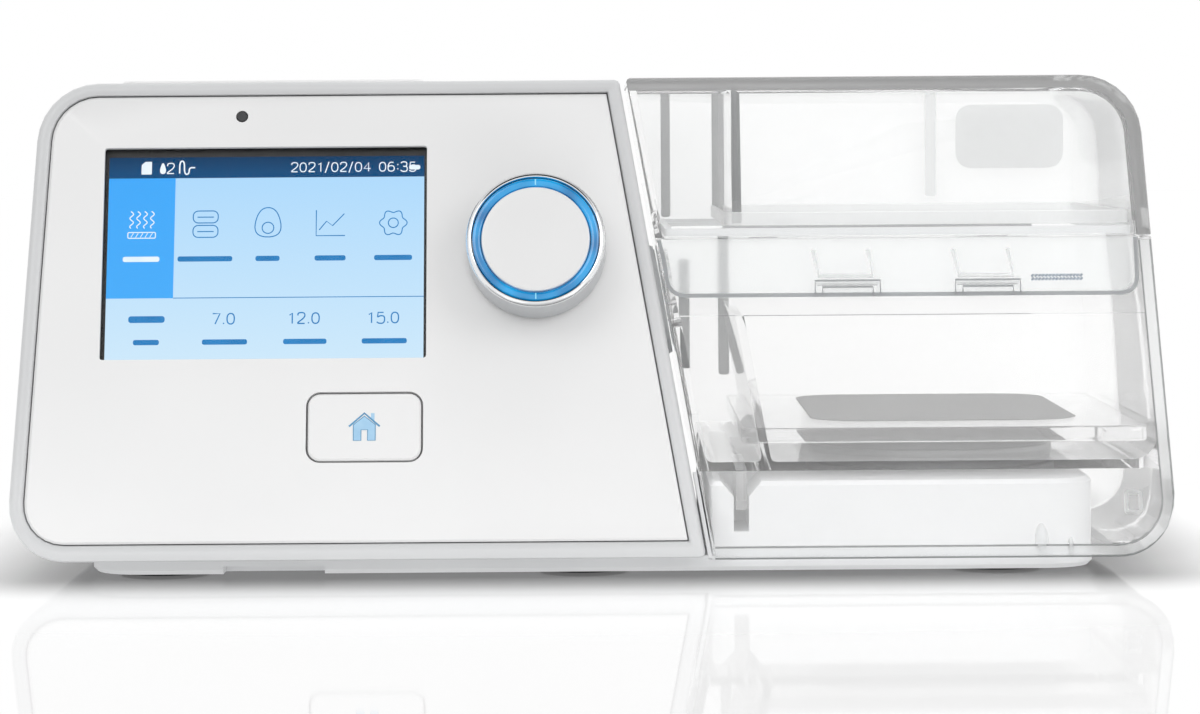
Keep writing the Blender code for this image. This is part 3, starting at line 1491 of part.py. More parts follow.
def lid_outline(insets):
    return rounded_outline(tank_corners(lid_foot, case_top + lid_top_rise), lid_radii, list(insets))


def make_lid():
    hinge = hinge_place()
    front = [0.0, lid_front_edge, lid_front_edge, edge_break]
    shell_rings = [
        leaning_ring(lid_outline(front), 0.0),
        leaning_ring(lid_outline([width * edge_bend_share for width in front]),
                     lid_front_edge * edge_bend_share),
        leaning_ring(lid_outline([0.0] * 4), lid_front_edge),
    ]
    shell_rings += back_rings(lid_outline, [0.0] * 4, (0, 1, 1, 1))
    shell = piece("lid_shell", [joined(shell_rings)], "smoke_plastic", origin=hinge)
    past = -overrun
    inside = [past, lid_shell_wall, lid_shell_wall, past]
    inner_back = case_back - lid_shell_wall
    inside_rings = [leaning_ring(lid_outline(inside), lid_rim_depth)]
    inside_rings += back_rings(lid_outline, inside, (0, 1, 1, 0), lid_shell_wall)
    carve(shell, "inside", [joined(inside_rings)])
    window = lid_outline([past, rim_side, rim_top, past])
    carve(shell, "window",
          [joined([leaning_ring(window, past), leaning_ring(window, lid_rim_depth + overrun)])])
    y = hinge[1]
    z = hinge[2]
    knuckles = []
    webs = []
    for x in hinge_xs:
        for side in (-1, 1):
            near = x + side * (hinge_tank_width / 2 + clearance)
            far = near + side * hinge_lid_width
            left = min(near, far)
            right = max(near, far)
            knuckles.append(rod((0, y, z), "X", hinge_radius, left, right))
            low = (left + edge_break, inner_back + edge_break, lid_foot + edge_break)
            webs.append(block(low, (right - edge_break, y, z + hinge_radius - edge_break)))
    fuse(shell, "knuckles", knuckles)
    fuse(shell, "webs", webs)
    carve(shell, "pin_bore", [hinge_bore()])
    make_lid_body(hinge, inner_back)
    rod_left = hinge_xs[0] - hinge_tank_width / 2 - hinge_lid_width - hinge_pin_overhang
    rod_right = hinge_xs[1] + hinge_tank_width / 2 + hinge_lid_width + hinge_pin_overhang
    piece("lid_hinge_pin", [rod((0, y, z), "X", hinge_pin_radius, rod_left, rod_right, few_sides)],
          "steel", origin=hinge)


def make_lid_body(hinge, inner_back):
    window = [0.0, rim_side + clearance, rim_top + clearance, 0.0]
    inner = lid_shell_wall + clearance
    behind = [0.0, inner, inner, 0.0]
    rim_back = lid_rim_depth + clearance
    back = inner_back - clearance
    rings = [
        leaning_ring(lid_outline(window), panel_depth),
        leaning_ring(lid_outline(window), rim_back),
        leaning_ring(lid_outline(behind), rim_back),
    ]
    rings += back_rings(lid_outline, behind, (0, 1, 1, 1), inner)
    body = piece("lid_body", [joined(rings)], "clear_plastic", origin=hinge)
    past = -overrun
    thick = inner + lid_body_wall
    front = panel_depth + lid_body_wall
    top = case_top + lid_top_rise - thick
    cavity_back = back - lid_body_wall

    def left_wall(z):
        return tank_left_x(z) + lid_body_wall

    def right_wall(z):
        return side_x(z) - thick

    foot = lid_foot + lid_partition_foot
    passage = tank_cut(foot - clearance, top, left_wall, lambda z: lid_partition_left, front,
                       cavity_back, square_corners)
    dome = tank_cut(foot - clearance, top, lambda z: lid_partition_right, right_wall, front, cavity_back,
                    (0, 0, top_corner_radius - thick, 0))
    carve(body, "domes", [passage, dome])
    mouth = tank_cut(lid_foot + past, foot, lambda z: left_wall(z) - clearance,
                     lambda z: right_wall(z) + clearance,
                     front - clearance, cavity_back + clearance, square_corners)
    carve(body, "mouth", [mouth])
    gasket_top = lid_foot + gasket_height
    x0 = left_wall(lid_foot) + clearance
    x1 = right_wall(gasket_top) - clearance
    y0 = face_y(gasket_top, front) + clearance
    y1 = cavity_back - clearance
    corners = rectangle((x0, y0), (x1, y1))
    radii = [divider_corner_radius] * 4
    outer = rounded_outline(corners, radii)
    inner = rounded_outline(corners, radii, [gasket_width] * 4)
    foot = lid_foot + edge_break
    rings = [level_ring(outer, foot), level_ring(outer, gasket_top), level_ring(inner, gasket_top),
             level_ring(inner, foot)]
    piece("lid_gasket", [joined(rings, closed=True)], "clear_silicone", origin=hinge)


def make_flap(face):
    hinge_z = tank_top + clearance / 2
    hinge = (0, face_y(hinge_z), hinge_z)
    flap = piece("latch_flap", [flap_lump(0.0, 0.0, flap_thickness)], "clear_plastic", origin=hinge)
    pockets = []
    for left in catch_left_edges:
        foot = (catch_foot - case_lift) / math.cos(face_lean)
        pockets.append(block((left, flap_thickness - catch_reach - clearance, foot),
                             (left + catch_width, flap_thickness + overrun, foot + catch_height)))
    carve(flap, "catch_pockets", pockets, face)


def clear_scene():
    for old in list(bpy.data.objects):
        bpy.data.objects.remove(old, do_unlink=True)


def build():
    clear_scene()
    face = empty("face_frame", (0, case_front, case_lift), (-face_lean, 0, 0))
    tank_frame = empty("tank_frame", (0, 0, 0))
    seals = seal_frames()
    make_main_housing(seals)
    make_rear_cover()
    make_front_panel(face)
    make_display(face)
    make_knob(face)
    make_home_button(face)
    make_start_button()
    make_base_tray()
    make_feet_and_screws()
    make_heater()
    make_supports_for_air(seals)
    floor_top, cover_top = make_blower()
    make_rotor(floor_top)
    make_muffler_and_filter(cover_top)
    make_inlet_and_card()
    make_main_board()
    make_tank(seals, face, tank_frame)
    make_tank_base(tank_frame)
    make_lid()
    make_flap(face)


build()
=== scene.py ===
import math

import bmesh
import bpy
import numpy as np
from mathutils import Matrix, Vector


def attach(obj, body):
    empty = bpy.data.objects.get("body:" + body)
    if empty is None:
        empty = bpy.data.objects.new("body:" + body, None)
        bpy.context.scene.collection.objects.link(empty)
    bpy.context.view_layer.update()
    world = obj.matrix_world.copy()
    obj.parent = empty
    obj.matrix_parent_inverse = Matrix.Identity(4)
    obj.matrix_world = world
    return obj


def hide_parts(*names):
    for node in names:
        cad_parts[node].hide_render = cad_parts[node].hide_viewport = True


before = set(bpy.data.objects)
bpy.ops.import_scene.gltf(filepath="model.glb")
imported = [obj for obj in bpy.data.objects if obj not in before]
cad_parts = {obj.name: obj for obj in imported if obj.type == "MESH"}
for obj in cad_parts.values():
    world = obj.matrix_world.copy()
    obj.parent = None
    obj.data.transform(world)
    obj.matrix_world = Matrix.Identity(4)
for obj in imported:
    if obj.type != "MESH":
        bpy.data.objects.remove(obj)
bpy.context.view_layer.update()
print("frame loaded:", len(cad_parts), "nodes")

mm = 0.001

# Where the machine's leaning face stands, in metres and radians
machine = {"caseFront": -72.97 * mm, "caseLift": 4.6 * mm, "lean": math.radians(18.3)}


def inMetres(value):
    # the numbers of a dictionary or a tuple of any depth, from millimetres
    if isinstance(value, dict):
        return {key: inMetres(entry) for key, entry in value.items()}
    if isinstance(value, tuple):
        return tuple(inMetres(entry) for entry in value)
    return value * mm


def linear(text):
    # an sRGB hex colour in the renderer's linear values
    share = np.array([int(text[i:i + 2], 16) for i in (1, 3, 5)]) / 255
    low = share / 12.92
    high = ((share + 0.055) / 1.055) ** 2.4
    return (*np.where(share <= 0.04045, low, high).tolist(), 1.0)


def join(tree, source, output, target, key):
    tree.links.new(source.outputs[output], target.inputs[key])


def addNode(tree, kind, settings=None, links=None, **attributes):
    # one shader node with its attributes, its socket settings and its links
    made = tree.nodes.new(kind)
    for key, value in attributes.items():
        setattr(made, key, value)
    for key, value in (settings or {}).items():
        made.inputs[key].default_value = value
    for key, (source, output) in (links or {}).items():
        join(tree, source, output, made, key)
    return made


def paint(settings, shader):
    for key, value in settings.items():
        shader.inputs[key].default_value = value


def startMaterial(name):
    material = bpy.data.materials.new(name)
    material.use_nodes = True
    tree = material.node_tree
    return material, tree, tree.nodes["Principled BSDF"], addNode(tree, "ShaderNodeTexCoord")


def noise(tree, source, size, detail):
    # cloudy spots of this size, in millimetres
    settings = {"Scale": 0.5 / (size * mm), "Detail": detail}
    return addNode(tree, "ShaderNodeTexNoise", settings, {"Vector": source})


def ramp(tree, source, ends=(0.0, 1.0), values=(0.0, 1.0), links=None, **attributes):
    # a line from the first value to the second, between two ends of its source
    settings = {"From Min": ends[0], "From Max": ends[1], "To Min": values[0], "To Max": values[1]}
    return addNode(tree, "ShaderNodeMapRange", settings, {"Value": source} | (links or {}), **attributes)


def twoTones(tree, factor, output, look, ends=(0.35, 0.65)):
    # a ramp from the shade to the colour
    tones = addNode(tree, "ShaderNodeValToRGB", None, {"Fac": (factor, output)})
    tones.color_ramp.elements[0].position, tones.color_ramp.elements[1].position = ends
    tones.color_ramp.elements[0].color = linear(look["shade"])
    tones.color_ramp.elements[1].color = linear(look["colour"])
    return tones


def surfaceMaterial(name, look):
    # an opaque finish: two close tones, a roughness that varies, and a bump from the grain
    material, tree, shader, place = startMaterial(name)
    paint({"IOR": look.get("ior", 1.5), "Metallic": look.get("metallic", 0.0)}, shader)
    paint(look.get("settings", {}), shader)
    stretch = addNode(tree, "ShaderNodeMapping", {"Scale": look.get("stretch", (1, 1, 1))},
                      {"Vector": (place, "Object")})
    grain = noise(tree, (stretch, "Vector"), look["grain"], 3.0)
    cloud = noise(tree, (place, "Object"), look.get("cloud", 30), 2.0)
    tones = twoTones(tree, cloud, "Fac", look)
    join(tree, tones, "Color", shader, "Base Color")
    gloss = ramp(tree, (grain, "Fac"), (0.3, 0.7), look["roughness"])
    join(tree, gloss, "Result", shader, "Roughness")
    bump = addNode(tree, "ShaderNodeBump",
                   {"Strength": look.get("bump", 0.05), "Distance": look["grain"] * mm},
                   {"Height": (grain, "Fac")})
    join(tree, bump, "Normal", shader, "Normal")
    return material


def clearMaterial(name, look):
    # clear moulded plastic: it passes light, and a slow wave from the cooling mould bends what is behind it
    material, tree, shader, place = startMaterial(name)
    paint({"IOR": look["ior"], "Transmission Weight": look.get("passes", 1.0), "Roughness": look["roughness"],
           "Base Color": linear(look["colour"])}, shader)
    wave = noise(tree, (place, "Object"), look["wave"], 1.0)
    if "shade" in look:
        # greyer and less clear in the front band: a ramp over the distance behind the leaning face
        tilt = (0.0, math.cos(machine["lean"]), -math.sin(machine["lean"]))
        behind = addNode(tree, "ShaderNodeVectorMath", {0: (0, 0, 0), 1: tilt}, operation="DOT_PRODUCT")
        join(tree, place, "Object", behind, 0)
        start = machine["caseFront"] * tilt[1] + machine["caseLift"] * tilt[2] + look["band"] * mm
        depth = ramp(tree, (behind, "Value"), (start, start + look["blend"] * mm))
        tones = twoTones(tree, depth, "Result", look, (0.0, 1.0))
        join(tree, tones, "Color", shader, "Base Color")
        clarity = ramp(tree, (depth, "Result"), values=(look["bandPasses"], look["passes"]))
        join(tree, clarity, "Result", shader, "Transmission Weight")
    bump = addNode(tree, "ShaderNodeBump", {"Strength": look["bump"], "Distance": look["depth"] * mm},
                   {"Height": (wave, "Fac")})
    join(tree, bump, "Normal", shader, "Normal")
    return material


def litMaterial(name, look):
    # a lit surface: its two tones follow its height, or else a cloud noise, which on the blue ring is painted
    # reflection
    material, tree, shader, place = startMaterial(name)
    paint({"Roughness": look.get("roughness", 0.6), "Specular IOR Level": look.get("gloss", 0.0),
           "Coat Weight": look.get("coat", 0.0), "Emission Strength": look.get("strength", 1.0)}, shader)
    if "from" in look:
        height = addNode(tree, "ShaderNodeSeparateXYZ", None, {"Vector": (place, "Object")})
        share = ramp(tree, (height, "Z"), (look["from"] * mm, look["to"] * mm))
        tones = twoTones(tree, share, "Result", look, (0.0, 1.0))
    else:
        cloud = noise(tree, (place, "Object"), look["cloud"], 1.0)
        tones = twoTones(tree, cloud, "Fac", look, look.get("ends", (0.35, 0.65)))
    join(tree, tones, "Color", shader, "Emission Color")
    if look.get("dyed"):
        join(tree, tones, "Color", shader, "Base Color")
    else:
        paint({"Base Color": (0.0, 0.0, 0.0, 1.0)}, shader)
    return material


# Finishes; every length in them is in millimetres
ink = {"grain": 0.2, "cloud": 2, "roughness": (0.45, 0.55)}
finishes = {
    # injection-moulded ABS with a satin spark-eroded face
    "satinWhiteAbs": {"colour": "#D9DADB", "shade": "#D5D6D7", "grain": 0.35, "roughness": (0.30, 0.42),
                      "bump": 0.04, "ior": 1.53},
    # the same ABS, polished a little more, on the front panel and buttons
    "panelAbs": {"colour": "#F2F2F2", "shade": "#EFEFEF", "grain": 0.3, "roughness": (0.28, 0.36),
                 "bump": 0.02, "ior": 1.53},
    # the base's ABS: greyer and matt
    "mattGreyAbs": {"colour": "#E6E7E8", "shade": "#E1E2E3", "grain": 0.4, "roughness": (0.42, 0.55),
                    "bump": 0.06, "ior": 1.53},
    # dark moulded plastic of the inlet and switches
    "darkAbs": {"colour": "#3C3D3F", "shade": "#323335", "grain": 0.3, "roughness": (0.4, 0.55),
                "bump": 0.08},
    # moulded nylon of the air path
    "greyNylon": {"colour": "#96999C", "shade": "#8B8E91", "grain": 0.4, "roughness": (0.4, 0.55),
                  "bump": 0.06},
    # chrome plating on moulded ABS: a mirror with a trace of orange peel
    "platedChrome": {"colour": "#F0F1F2", "shade": "#E8E9EA", "grain": 1.2, "roughness": (0.05, 0.1),
                     "bump": 0.01, "metallic": 1.0},
    # the same plating over a blasted skirt: it mirrors softly
    "satinChrome": {"colour": "#D3D5D7", "shade": "#CCCED0", "grain": 0.3, "roughness": (0.3, 0.4),
                    "bump": 0.02, "metallic": 1.0},
    # stamped and zinc-plated steel
    "stampedSteel": {"colour": "#B2B4B7", "shade": "#A3A5A8", "grain": 0.5, "roughness": (0.25, 0.4),
                     "bump": 0.05, "metallic": 1.0, "stretch": (1, 1, 6)},
    # cast and turned aluminium of the heater
    "turnedAluminium": {"colour": "#CDCFD1", "shade": "#BFC1C3", "grain": 0.5, "roughness": (0.3, 0.45),
                        "bump": 0.05, "metallic": 1.0},
    # polished stainless steel of the tank's heating plate
    "polishedSteel": {"colour": "#ECEDEE", "shade": "#E2E3E4", "grain": 0.4, "roughness": (0.18, 0.28),
                      "bump": 0.03, "metallic": 1.0},
    # moulded rubber of the feet
    "mouldedRubber": {"colour": "#2A2A2B", "shade": "#222223", "grain": 0.5, "roughness": (0.7, 0.85),
                      "bump": 0.15},
    # milky moulded silicone of the seals
    "mouldedSilicone": {"colour": "#F4F6F7", "shade": "#EEF0F1", "grain": 0.6, "roughness": (0.4, 0.5),
                        "bump": 0.03, "settings": {"Transmission Weight": 0.4}},
    # open-cell polyurethane foam
    "openCellFoam": {"colour": "#6A6C6E", "shade": "#3E4042", "grain": 0.9, "cloud": 1.2,
                     "roughness": (0.9, 1.0), "bump": 0.8},
    # needled filter felt
    "filterFelt": {"colour": "#F0F0EB", "shade": "#D8D8D2", "grain": 0.6, "cloud": 1.0,
                   "roughness": (0.9, 1.0), "bump": 0.6},
    # glass-fibre board under green solder mask
    "solderMask": {"colour": "#1F6440", "shade": "#174E32", "grain": 0.5, "cloud": 4,
                   "roughness": (0.3, 0.45), "bump": 0.1},
    # moulded memory card
    "cardPlastic": {"colour": "#2F5288", "shade": "#284878", "grain": 0.3, "roughness": (0.35, 0.45),
                    "bump": 0.04},
    # black ink printed behind the glass: it shows as one deep, even black
    "blackPrint": {"colour": "#0B0B0C", "shade": "#080809", "grain": 0.2, "roughness": (0.5, 0.6)},
    # pad-printed inks on the button and the tank: thin, with soft pale tones
    "paleBluePrint": {"colour": "#B4DAF4", "shade": "#A4CFEE", **ink},
    "midBluePrint": {"colour": "#5E9FC8", "shade": "#5493BC", **ink},
    "fillMarkPrint": {"colour": "#2F5F80", "shade": "#284F6C", **ink},
}
materials = {name: surfaceMaterial(name, look) for name, look in finishes.items()}

clearFinishes = {
    # clear copolyester of the tank, the lid's body and the flap: a slight haze whitens its edges
    "clearCopolyester": {"colour": "#FCFCFC", "ior": 1.14, "roughness": 0.02, "wave": 18, "bump": 0.05,
                         "depth": 1.0, "passes": 0.87},
    # the same with a hazy back, on the flap
    "hazyCopolyester": {"colour": "#F6F7F7", "ior": 1.2, "roughness": 0.12, "wave": 12, "bump": 0.05,
                        "depth": 1.0, "passes": 0.84},
    # the same, greyer and less clear in the shell's front band and clear behind it
    "greyBandCopolyester": {"colour": "#FAFBFB", "shade": "#BDBDBD", "band": 3.1, "blend": 0.4,
                         "ior": 1.2, "roughness": 0.03, "wave": 18, "bump": 0.04, "depth": 1.0,
                         "passes": 0.93, "bandPasses": 0.4},
    # clear copolyester with an eroded face: it scatters, and shows milky
    "frostedCopolyester": {"colour": "#FAFBFB", "ior": 1.2, "roughness": 0.3, "wave": 0.6, "bump": 0.2,
                           "depth": 0.3, "passes": 0.85},
    # the same, greyer: painted edge shade on the flap's hooks and edge, and a grey frost on the heating disc
    "greyFrostAndEdgeShade": {"colour": "#C6C8CA", "ior": 1.2, "roughness": 0.4, "wave": 0.6, "bump": 0.2,
                  "depth": 0.3, "passes": 0.6},
    # clear copolyester with a fine eroded speckle, and below it a grey, half-clear painted shade for edges
    # and bars that look dark
    "speckledCopolyester": {"colour": "#F4F4F4", "ior": 1.1, "roughness": 0.45, "wave": 0.5, "bump": 0.6,
                            "depth": 0.4, "passes": 0.85},
    "paintedShadeGrey": {"colour": "#9C9E9F", "ior": 1.1, "roughness": 0.3, "wave": 4, "bump": 0.1,
                 "depth": 0.5, "passes": 0.5},
    # float glass over the screen, coated so that it hardly mirrors
    "coverGlass": {"colour": "#FFFFFF", "ior": 1.22, "roughness": 0.0, "wave": 60, "bump": 0.0,
                   "depth": 1.0},
}
for name, look in clearFinishes.items():
    materials[name] = clearMaterial(name, look)

litFinishes = {
    # cast acrylic over blue lamps, under a polished face; its brighter and darker patches are painted
    # reflections
    "litBlueAcrylic": {"colour": "#0F94D0", "shade": "#0A6098", "cloud": 4, "ends": (0.28, 0.6),
                       "strength": 0.4, "roughness": 0.15, "gloss": 0.5, "coat": 1.0, "dyed": True},
    # painted glints: pale cyan strokes on the ring that stand in for highlights
    "glintBlue": {"colour": "#A8E8FF", "shade": "#7FD8FA", "cloud": 2},
    # the screen's lit field, paler towards its foot
    "screenLight": {"colour": "#ABD9FD", "shade": "#CDE9FC", "from": 50, "to": 96},
    "screenBlue": {"colour": "#3EA9FB", "shade": "#44ACFB", "from": 66, "to": 94},
    # the dark bar along the screen's head
    "screenNavy": {"colour": "#002F55", "shade": "#06497A", "from": 92, "to": 97},
    "screenWhite": {"colour": "#F2FAFF", "shade": "#E4F4FF", "cloud": 3},
    "screenLineBlue": {"colour": "#2F86C8", "shade": "#2A7DBD", "cloud": 3},
}
for name, look in litFinishes.items():
    materials[name] = litMaterial(name, look)
print("materials made:", len(materials))

# Which finish each solid of the frame takes
dress = {
    "satinWhiteAbs": ["main_housing", "rear_cover", "filter_cover", "knob_core", "impeller"],
    "panelAbs": ["front_panel", "home_button", "start_stop_button", "knob_cap"],
    "mattGreyAbs": ["base_tray"],
    "darkAbs": ["light_sensor", "home_switch", "start_switch", "dc_inlet"],
    "greyNylon": ["encoder_plunger", "blower_base", "blower_cover", "supply_duct", "return_duct",
                  "outlet_port", "heater_insulator"],
    "platedChrome": ["knob_trim"],
    "litBlueAcrylic": ["knob_light_ring"],
    "stampedSteel": ["encoder_body", "encoder_shaft", "blower_motor", "motor_shaft", "card_socket",
                     "tray_screw_1", "tray_screw_2", "tray_screw_3", "tray_screw_4", "lid_hinge_pin"],
    "polishedSteel": ["tank_plate"],
    "turnedAluminium": ["heater_plate"],
    "mouldedRubber": ["foot_1", "foot_2", "foot_3", "foot_4", "foot_5", "foot_6", "blower_grommet_1",
                      "blower_grommet_2", "blower_grommet_3"],
    "mouldedSilicone": ["supply_seal", "return_seal", "tank_plate_seal", "lid_gasket"],
    "openCellFoam": ["muffler_foam"],
    "filterFelt": ["air_filter"],
    "solderMask": ["control_board", "main_board", "switch_board"],
    "cardPlastic": ["memory_card"],
    "clearCopolyester": ["water_tank", "lid_body"],
    "hazyCopolyester": ["latch_flap"],
    "greyBandCopolyester": ["lid_shell"],
    "coverGlass": ["display_lens"],
    "blackPrint": ["lcd_module"],
}
# Points nearer than the weld merge, and a sharper bend than the crease shows as an edge
joining = {"solidWeld": 0.002 * mm, "solidCrease": 38, "pieceWeld": 0.0005 * mm, "pieceCrease": 35}
for finish, nodeNames in dress.items():
    for nodeName in nodeNames:
        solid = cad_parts[nodeName]
        solid.data.materials.clear()
        solid.data.materials.append(materials[finish])
        solid.data.shade_smooth()
        weld = solid.modifiers.new("weld", "WELD")
        weld.merge_threshold = joining["solidWeld"]
        split = solid.modifiers.new("creases", "EDGE_SPLIT")
        split.split_angle = math.radians(joining["solidCrease"])
        split.use_edge_sharp = False
        solid.visible_shadow = finish not in clearFinishes
print("solids dressed")


def gridFaces(rows, columns, rowsClosed=False, columnsClosed=True):
    # quads between the neighbours of a grid; a closed direction joins its last line to its first
    row = np.arange(rows if rowsClosed else rows - 1)
    column = np.arange(columns if columnsClosed else columns - 1)
    row, column = np.meshgrid(row, column, indexing="ij")
    rowNext = (row + 1) % rows * columns
    columnNext = (column + 1) % columns
    row = row * columns
    corners = [row + column, row + columnNext, rowNext + columnNext, rowNext + column]
    return np.stack(corners, -1).reshape(-1, 4)


def facePoints(x, rise, depth):
    # places on the leaning face: the rise runs up along it and the depth runs square into the machine
    y = machine["caseFront"] + rise * math.sin(machine["lean"]) + depth * math.cos(machine["lean"])
    z = machine["caseLift"] + rise * math.cos(machine["lean"]) - depth * math.sin(machine["lean"])
    return np.stack(np.broadcast_arrays(x, y, z), -1)


def uprightPoints(x, z, y):
    # places on an upright plane across the machine: over, up, then back
    return np.stack(np.broadcast_arrays(x, y, z), -1)


def levelPoints(x, y, z):
    # places on a level plane: over, back, then up
    return np.stack(np.broadcast_arrays(x, y, z), -1)


def riseAt(z):
    # the rise along the leaning face at a height
    return (z - machine["caseLift"]) / math.cos(machine["lean"])


def plate(outline, near, far, place=facePoints):
    # a flat form: its outline carried from near to far, with both ends closed
    outline = np.asarray(outline, float)
    count = len(outline)
    points = np.concatenate([place(*outline.T, near), place(*outline.T, far)])
    return points, gridFaces(2, count).tolist() + [list(range(count)), list(range(count, 2 * count))]


def stroke(path, width, near, far, closed=False, place=facePoints):
    # a line of even width: each point of the path moved half a width to both sides along the normal
    path = np.asarray(path, float)
    ahead = np.roll(path, -1, 0) - np.roll(path, 1, 0) if closed else np.gradient(path, axis=0)
    side = np.stack([-ahead[:, 1], ahead[:, 0]], 1) / np.linalg.norm(ahead, axis=1)[:, None] * width / 2
    left = (path + side).T
    right = (path - side).T
    rings = np.stack([place(*left, near), place(*right, near), place(*right, far), place(*left, far)], 1)
    count = len(path)
    faces = gridFaces(count, 4, closed).tolist()
    if not closed:
        faces += [[0, 1, 2, 3], [4 * count - 1, 4 * count - 2, 4 * count - 3, 4 * count - 4]]
    return rings.reshape(-1, 3), faces


def softened(path, closed=False, rounds=3):
    # corner cutting: each side of the path keeps its points at a quarter and at three quarters
    path = np.asarray(path, float)
    for cut in range(rounds):
        start = path if closed else path[:-1]
        end = np.roll(path, -1, 0) if closed else path[1:]
        middle = np.stack([start * 0.75 + end * 0.25, start * 0.25 + end * 0.75], 1).reshape(-1, 2)
        path = middle if closed else np.concatenate([path[:1], middle, path[-1:]])
    return path


def ringPath(x, y, radius, count=48, lobes=0, swell=0.0):
    # a circle whose radius swells evenly at its lobes
    angle = np.linspace(0, 2 * np.pi, count, endpoint=False)
    reach = radius + swell * np.cos(lobes * angle)
    return np.stack([x + reach * np.cos(angle), y + reach * np.sin(angle)], 1)


def roundedBox(low, high, radius, steps=6):
    # a rectangle with a quarter circle at each corner
    left, foot, right, head = low[0] + radius, low[1] + radius, high[0] - radius, high[1] - radius
    corners = [(right, head, 0), (left, head, 1), (left, foot, 2), (right, foot, 3)]
    turn = np.linspace(0, np.pi / 2, steps + 1)
    arcs = []
    for x, y, quarter in corners:
        angle = turn + quarter * np.pi / 2
        arcs.append(np.stack([x + radius * np.cos(angle), y + radius * np.sin(angle)], 1))
    return np.concatenate(arcs)


def turnedOnFace(x, rise, profile, count=144, closed=True):
    # a profile of (radius, depth) carried round an axis that stands square on the leaning face
    angle = np.linspace(0, 2 * np.pi, count, endpoint=False)
    radius, depth = np.asarray(profile, float).T
    across = x + radius[:, None] * np.cos(angle)
    up = rise + radius[:, None] * np.sin(angle)
    points = facePoints(across, up, np.broadcast_to(depth[:, None], across.shape)).reshape(-1, 3)
    faces = gridFaces(len(radius), count, closed).tolist()
    return points, faces


def raised(value, power):
    return np.sign(value) * np.abs(value) ** power


def lump(centre, sizes, power=1.0, count=(40, 20), place=facePoints, ripple=0.0, pitch=1.0):
    # a superellipsoid: sines and cosines of two angles raised to a power; a ripple runs across it along x
    turn = np.linspace(-np.pi, np.pi, count[0], endpoint=False)[None, :]
    tilt = np.linspace(-np.pi / 2, np.pi / 2, count[1])[:, None]
    x = raised(np.cos(tilt), power) * raised(np.cos(turn), power) * sizes[0]
    up = raised(np.cos(tilt), power) * raised(np.sin(turn), power) * sizes[1]
    into = raised(np.sin(tilt), power) * sizes[2] * np.ones_like(turn)
    into = into + ripple * np.sign(into) * np.cos(2 * np.pi * x / pitch) * np.abs(np.sin(tilt))
    points = place(centre[0] + x, centre[1] + up, centre[2] + into).reshape(-1, 3)
    return points, gridFaces(count[1], count[0]).tolist()


def newObject(name, data):
    made = bpy.data.objects.new(name, data)
    bpy.context.scene.collection.objects.link(made)
    return made


def makePiece(name, lumps, finish, body, replaced=(), bevel=0.0):
    # one object from its lumps, with seams and poles merged and every face turned outwards
    points = np.concatenate([lumpPoints for lumpPoints, lumpFaces in lumps])
    starts = np.cumsum([0] + [len(lumpPoints) for lumpPoints, lumpFaces in lumps])
    faces = [[start + corner for corner in face] for start, (_, lumpFaces) in zip(starts.tolist(), lumps)
             for face in lumpFaces]
    mesh = bpy.data.meshes.new(name)
    mesh.from_pydata(points.tolist(), [], faces)
    working = bmesh.new()
    working.from_mesh(mesh)
    bmesh.ops.remove_doubles(working, verts=working.verts, dist=joining["pieceWeld"])
    bmesh.ops.recalc_face_normals(working, faces=working.faces)
    working.to_mesh(mesh)
    working.free()
    mesh.shade_smooth()
    mesh.set_sharp_from_angle(angle=math.radians(joining["pieceCrease"]))
    mesh.materials.append(materials[finish])
    made = newObject(name, mesh)
    if bevel:
        edge = made.modifiers.new("edges", "BEVEL")
        edge.width = bevel
        edge.segments = 2
        edge.limit_method = "ANGLE"
    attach(made, body)
    if replaced:
        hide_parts(*replaced)
    return made


# The dial's turned pieces: radii, and depths from the face, which are negative in front of it
dial = inMetres({"x": -12.4, "rise": 72.5, "trimOut": 16, "trimIn": 14.75, "trimBack": -0.65,
                 "trimFront": -11, "skirtIn": 15.2, "skirtFront": -9.7, "skirtGap": 0.05, "ringOut": 14.45,
                 "ringIn": 12.7, "ringBack": -7.2, "ringFront": -10.75, "bead": 0.35, "capOut": 12.4,
                 "capBack": -8.2, "capFront": -10.8, "dish": 0.5, "capRound": 0.4, "capEdge": 0.12,
                 "seamWidth": 0.3, "seamInset": 0.2, "seamLift": 0.04, "seamSink": 0.3})

# The trim's bevel, from its outer wall to its inner: shares of the wall and depths in millimetres
dialBevel = ((0, 1.0), (0.1, 0.78), (0.28, 0.5), (0.46, 0.24), (0.6, 0.08), (0.78, 0), (0.93, 0.06), (1, 0.2))


def turnedPiece(name, profile, finish, replaced=(), closed=True):
    # a piece of the dial, turned round the dial's axis
    lumps = [turnedOnFace(dial["x"], dial["rise"], profile, closed=closed)]
    makePiece(name, lumps, finish, "dial", replaced)


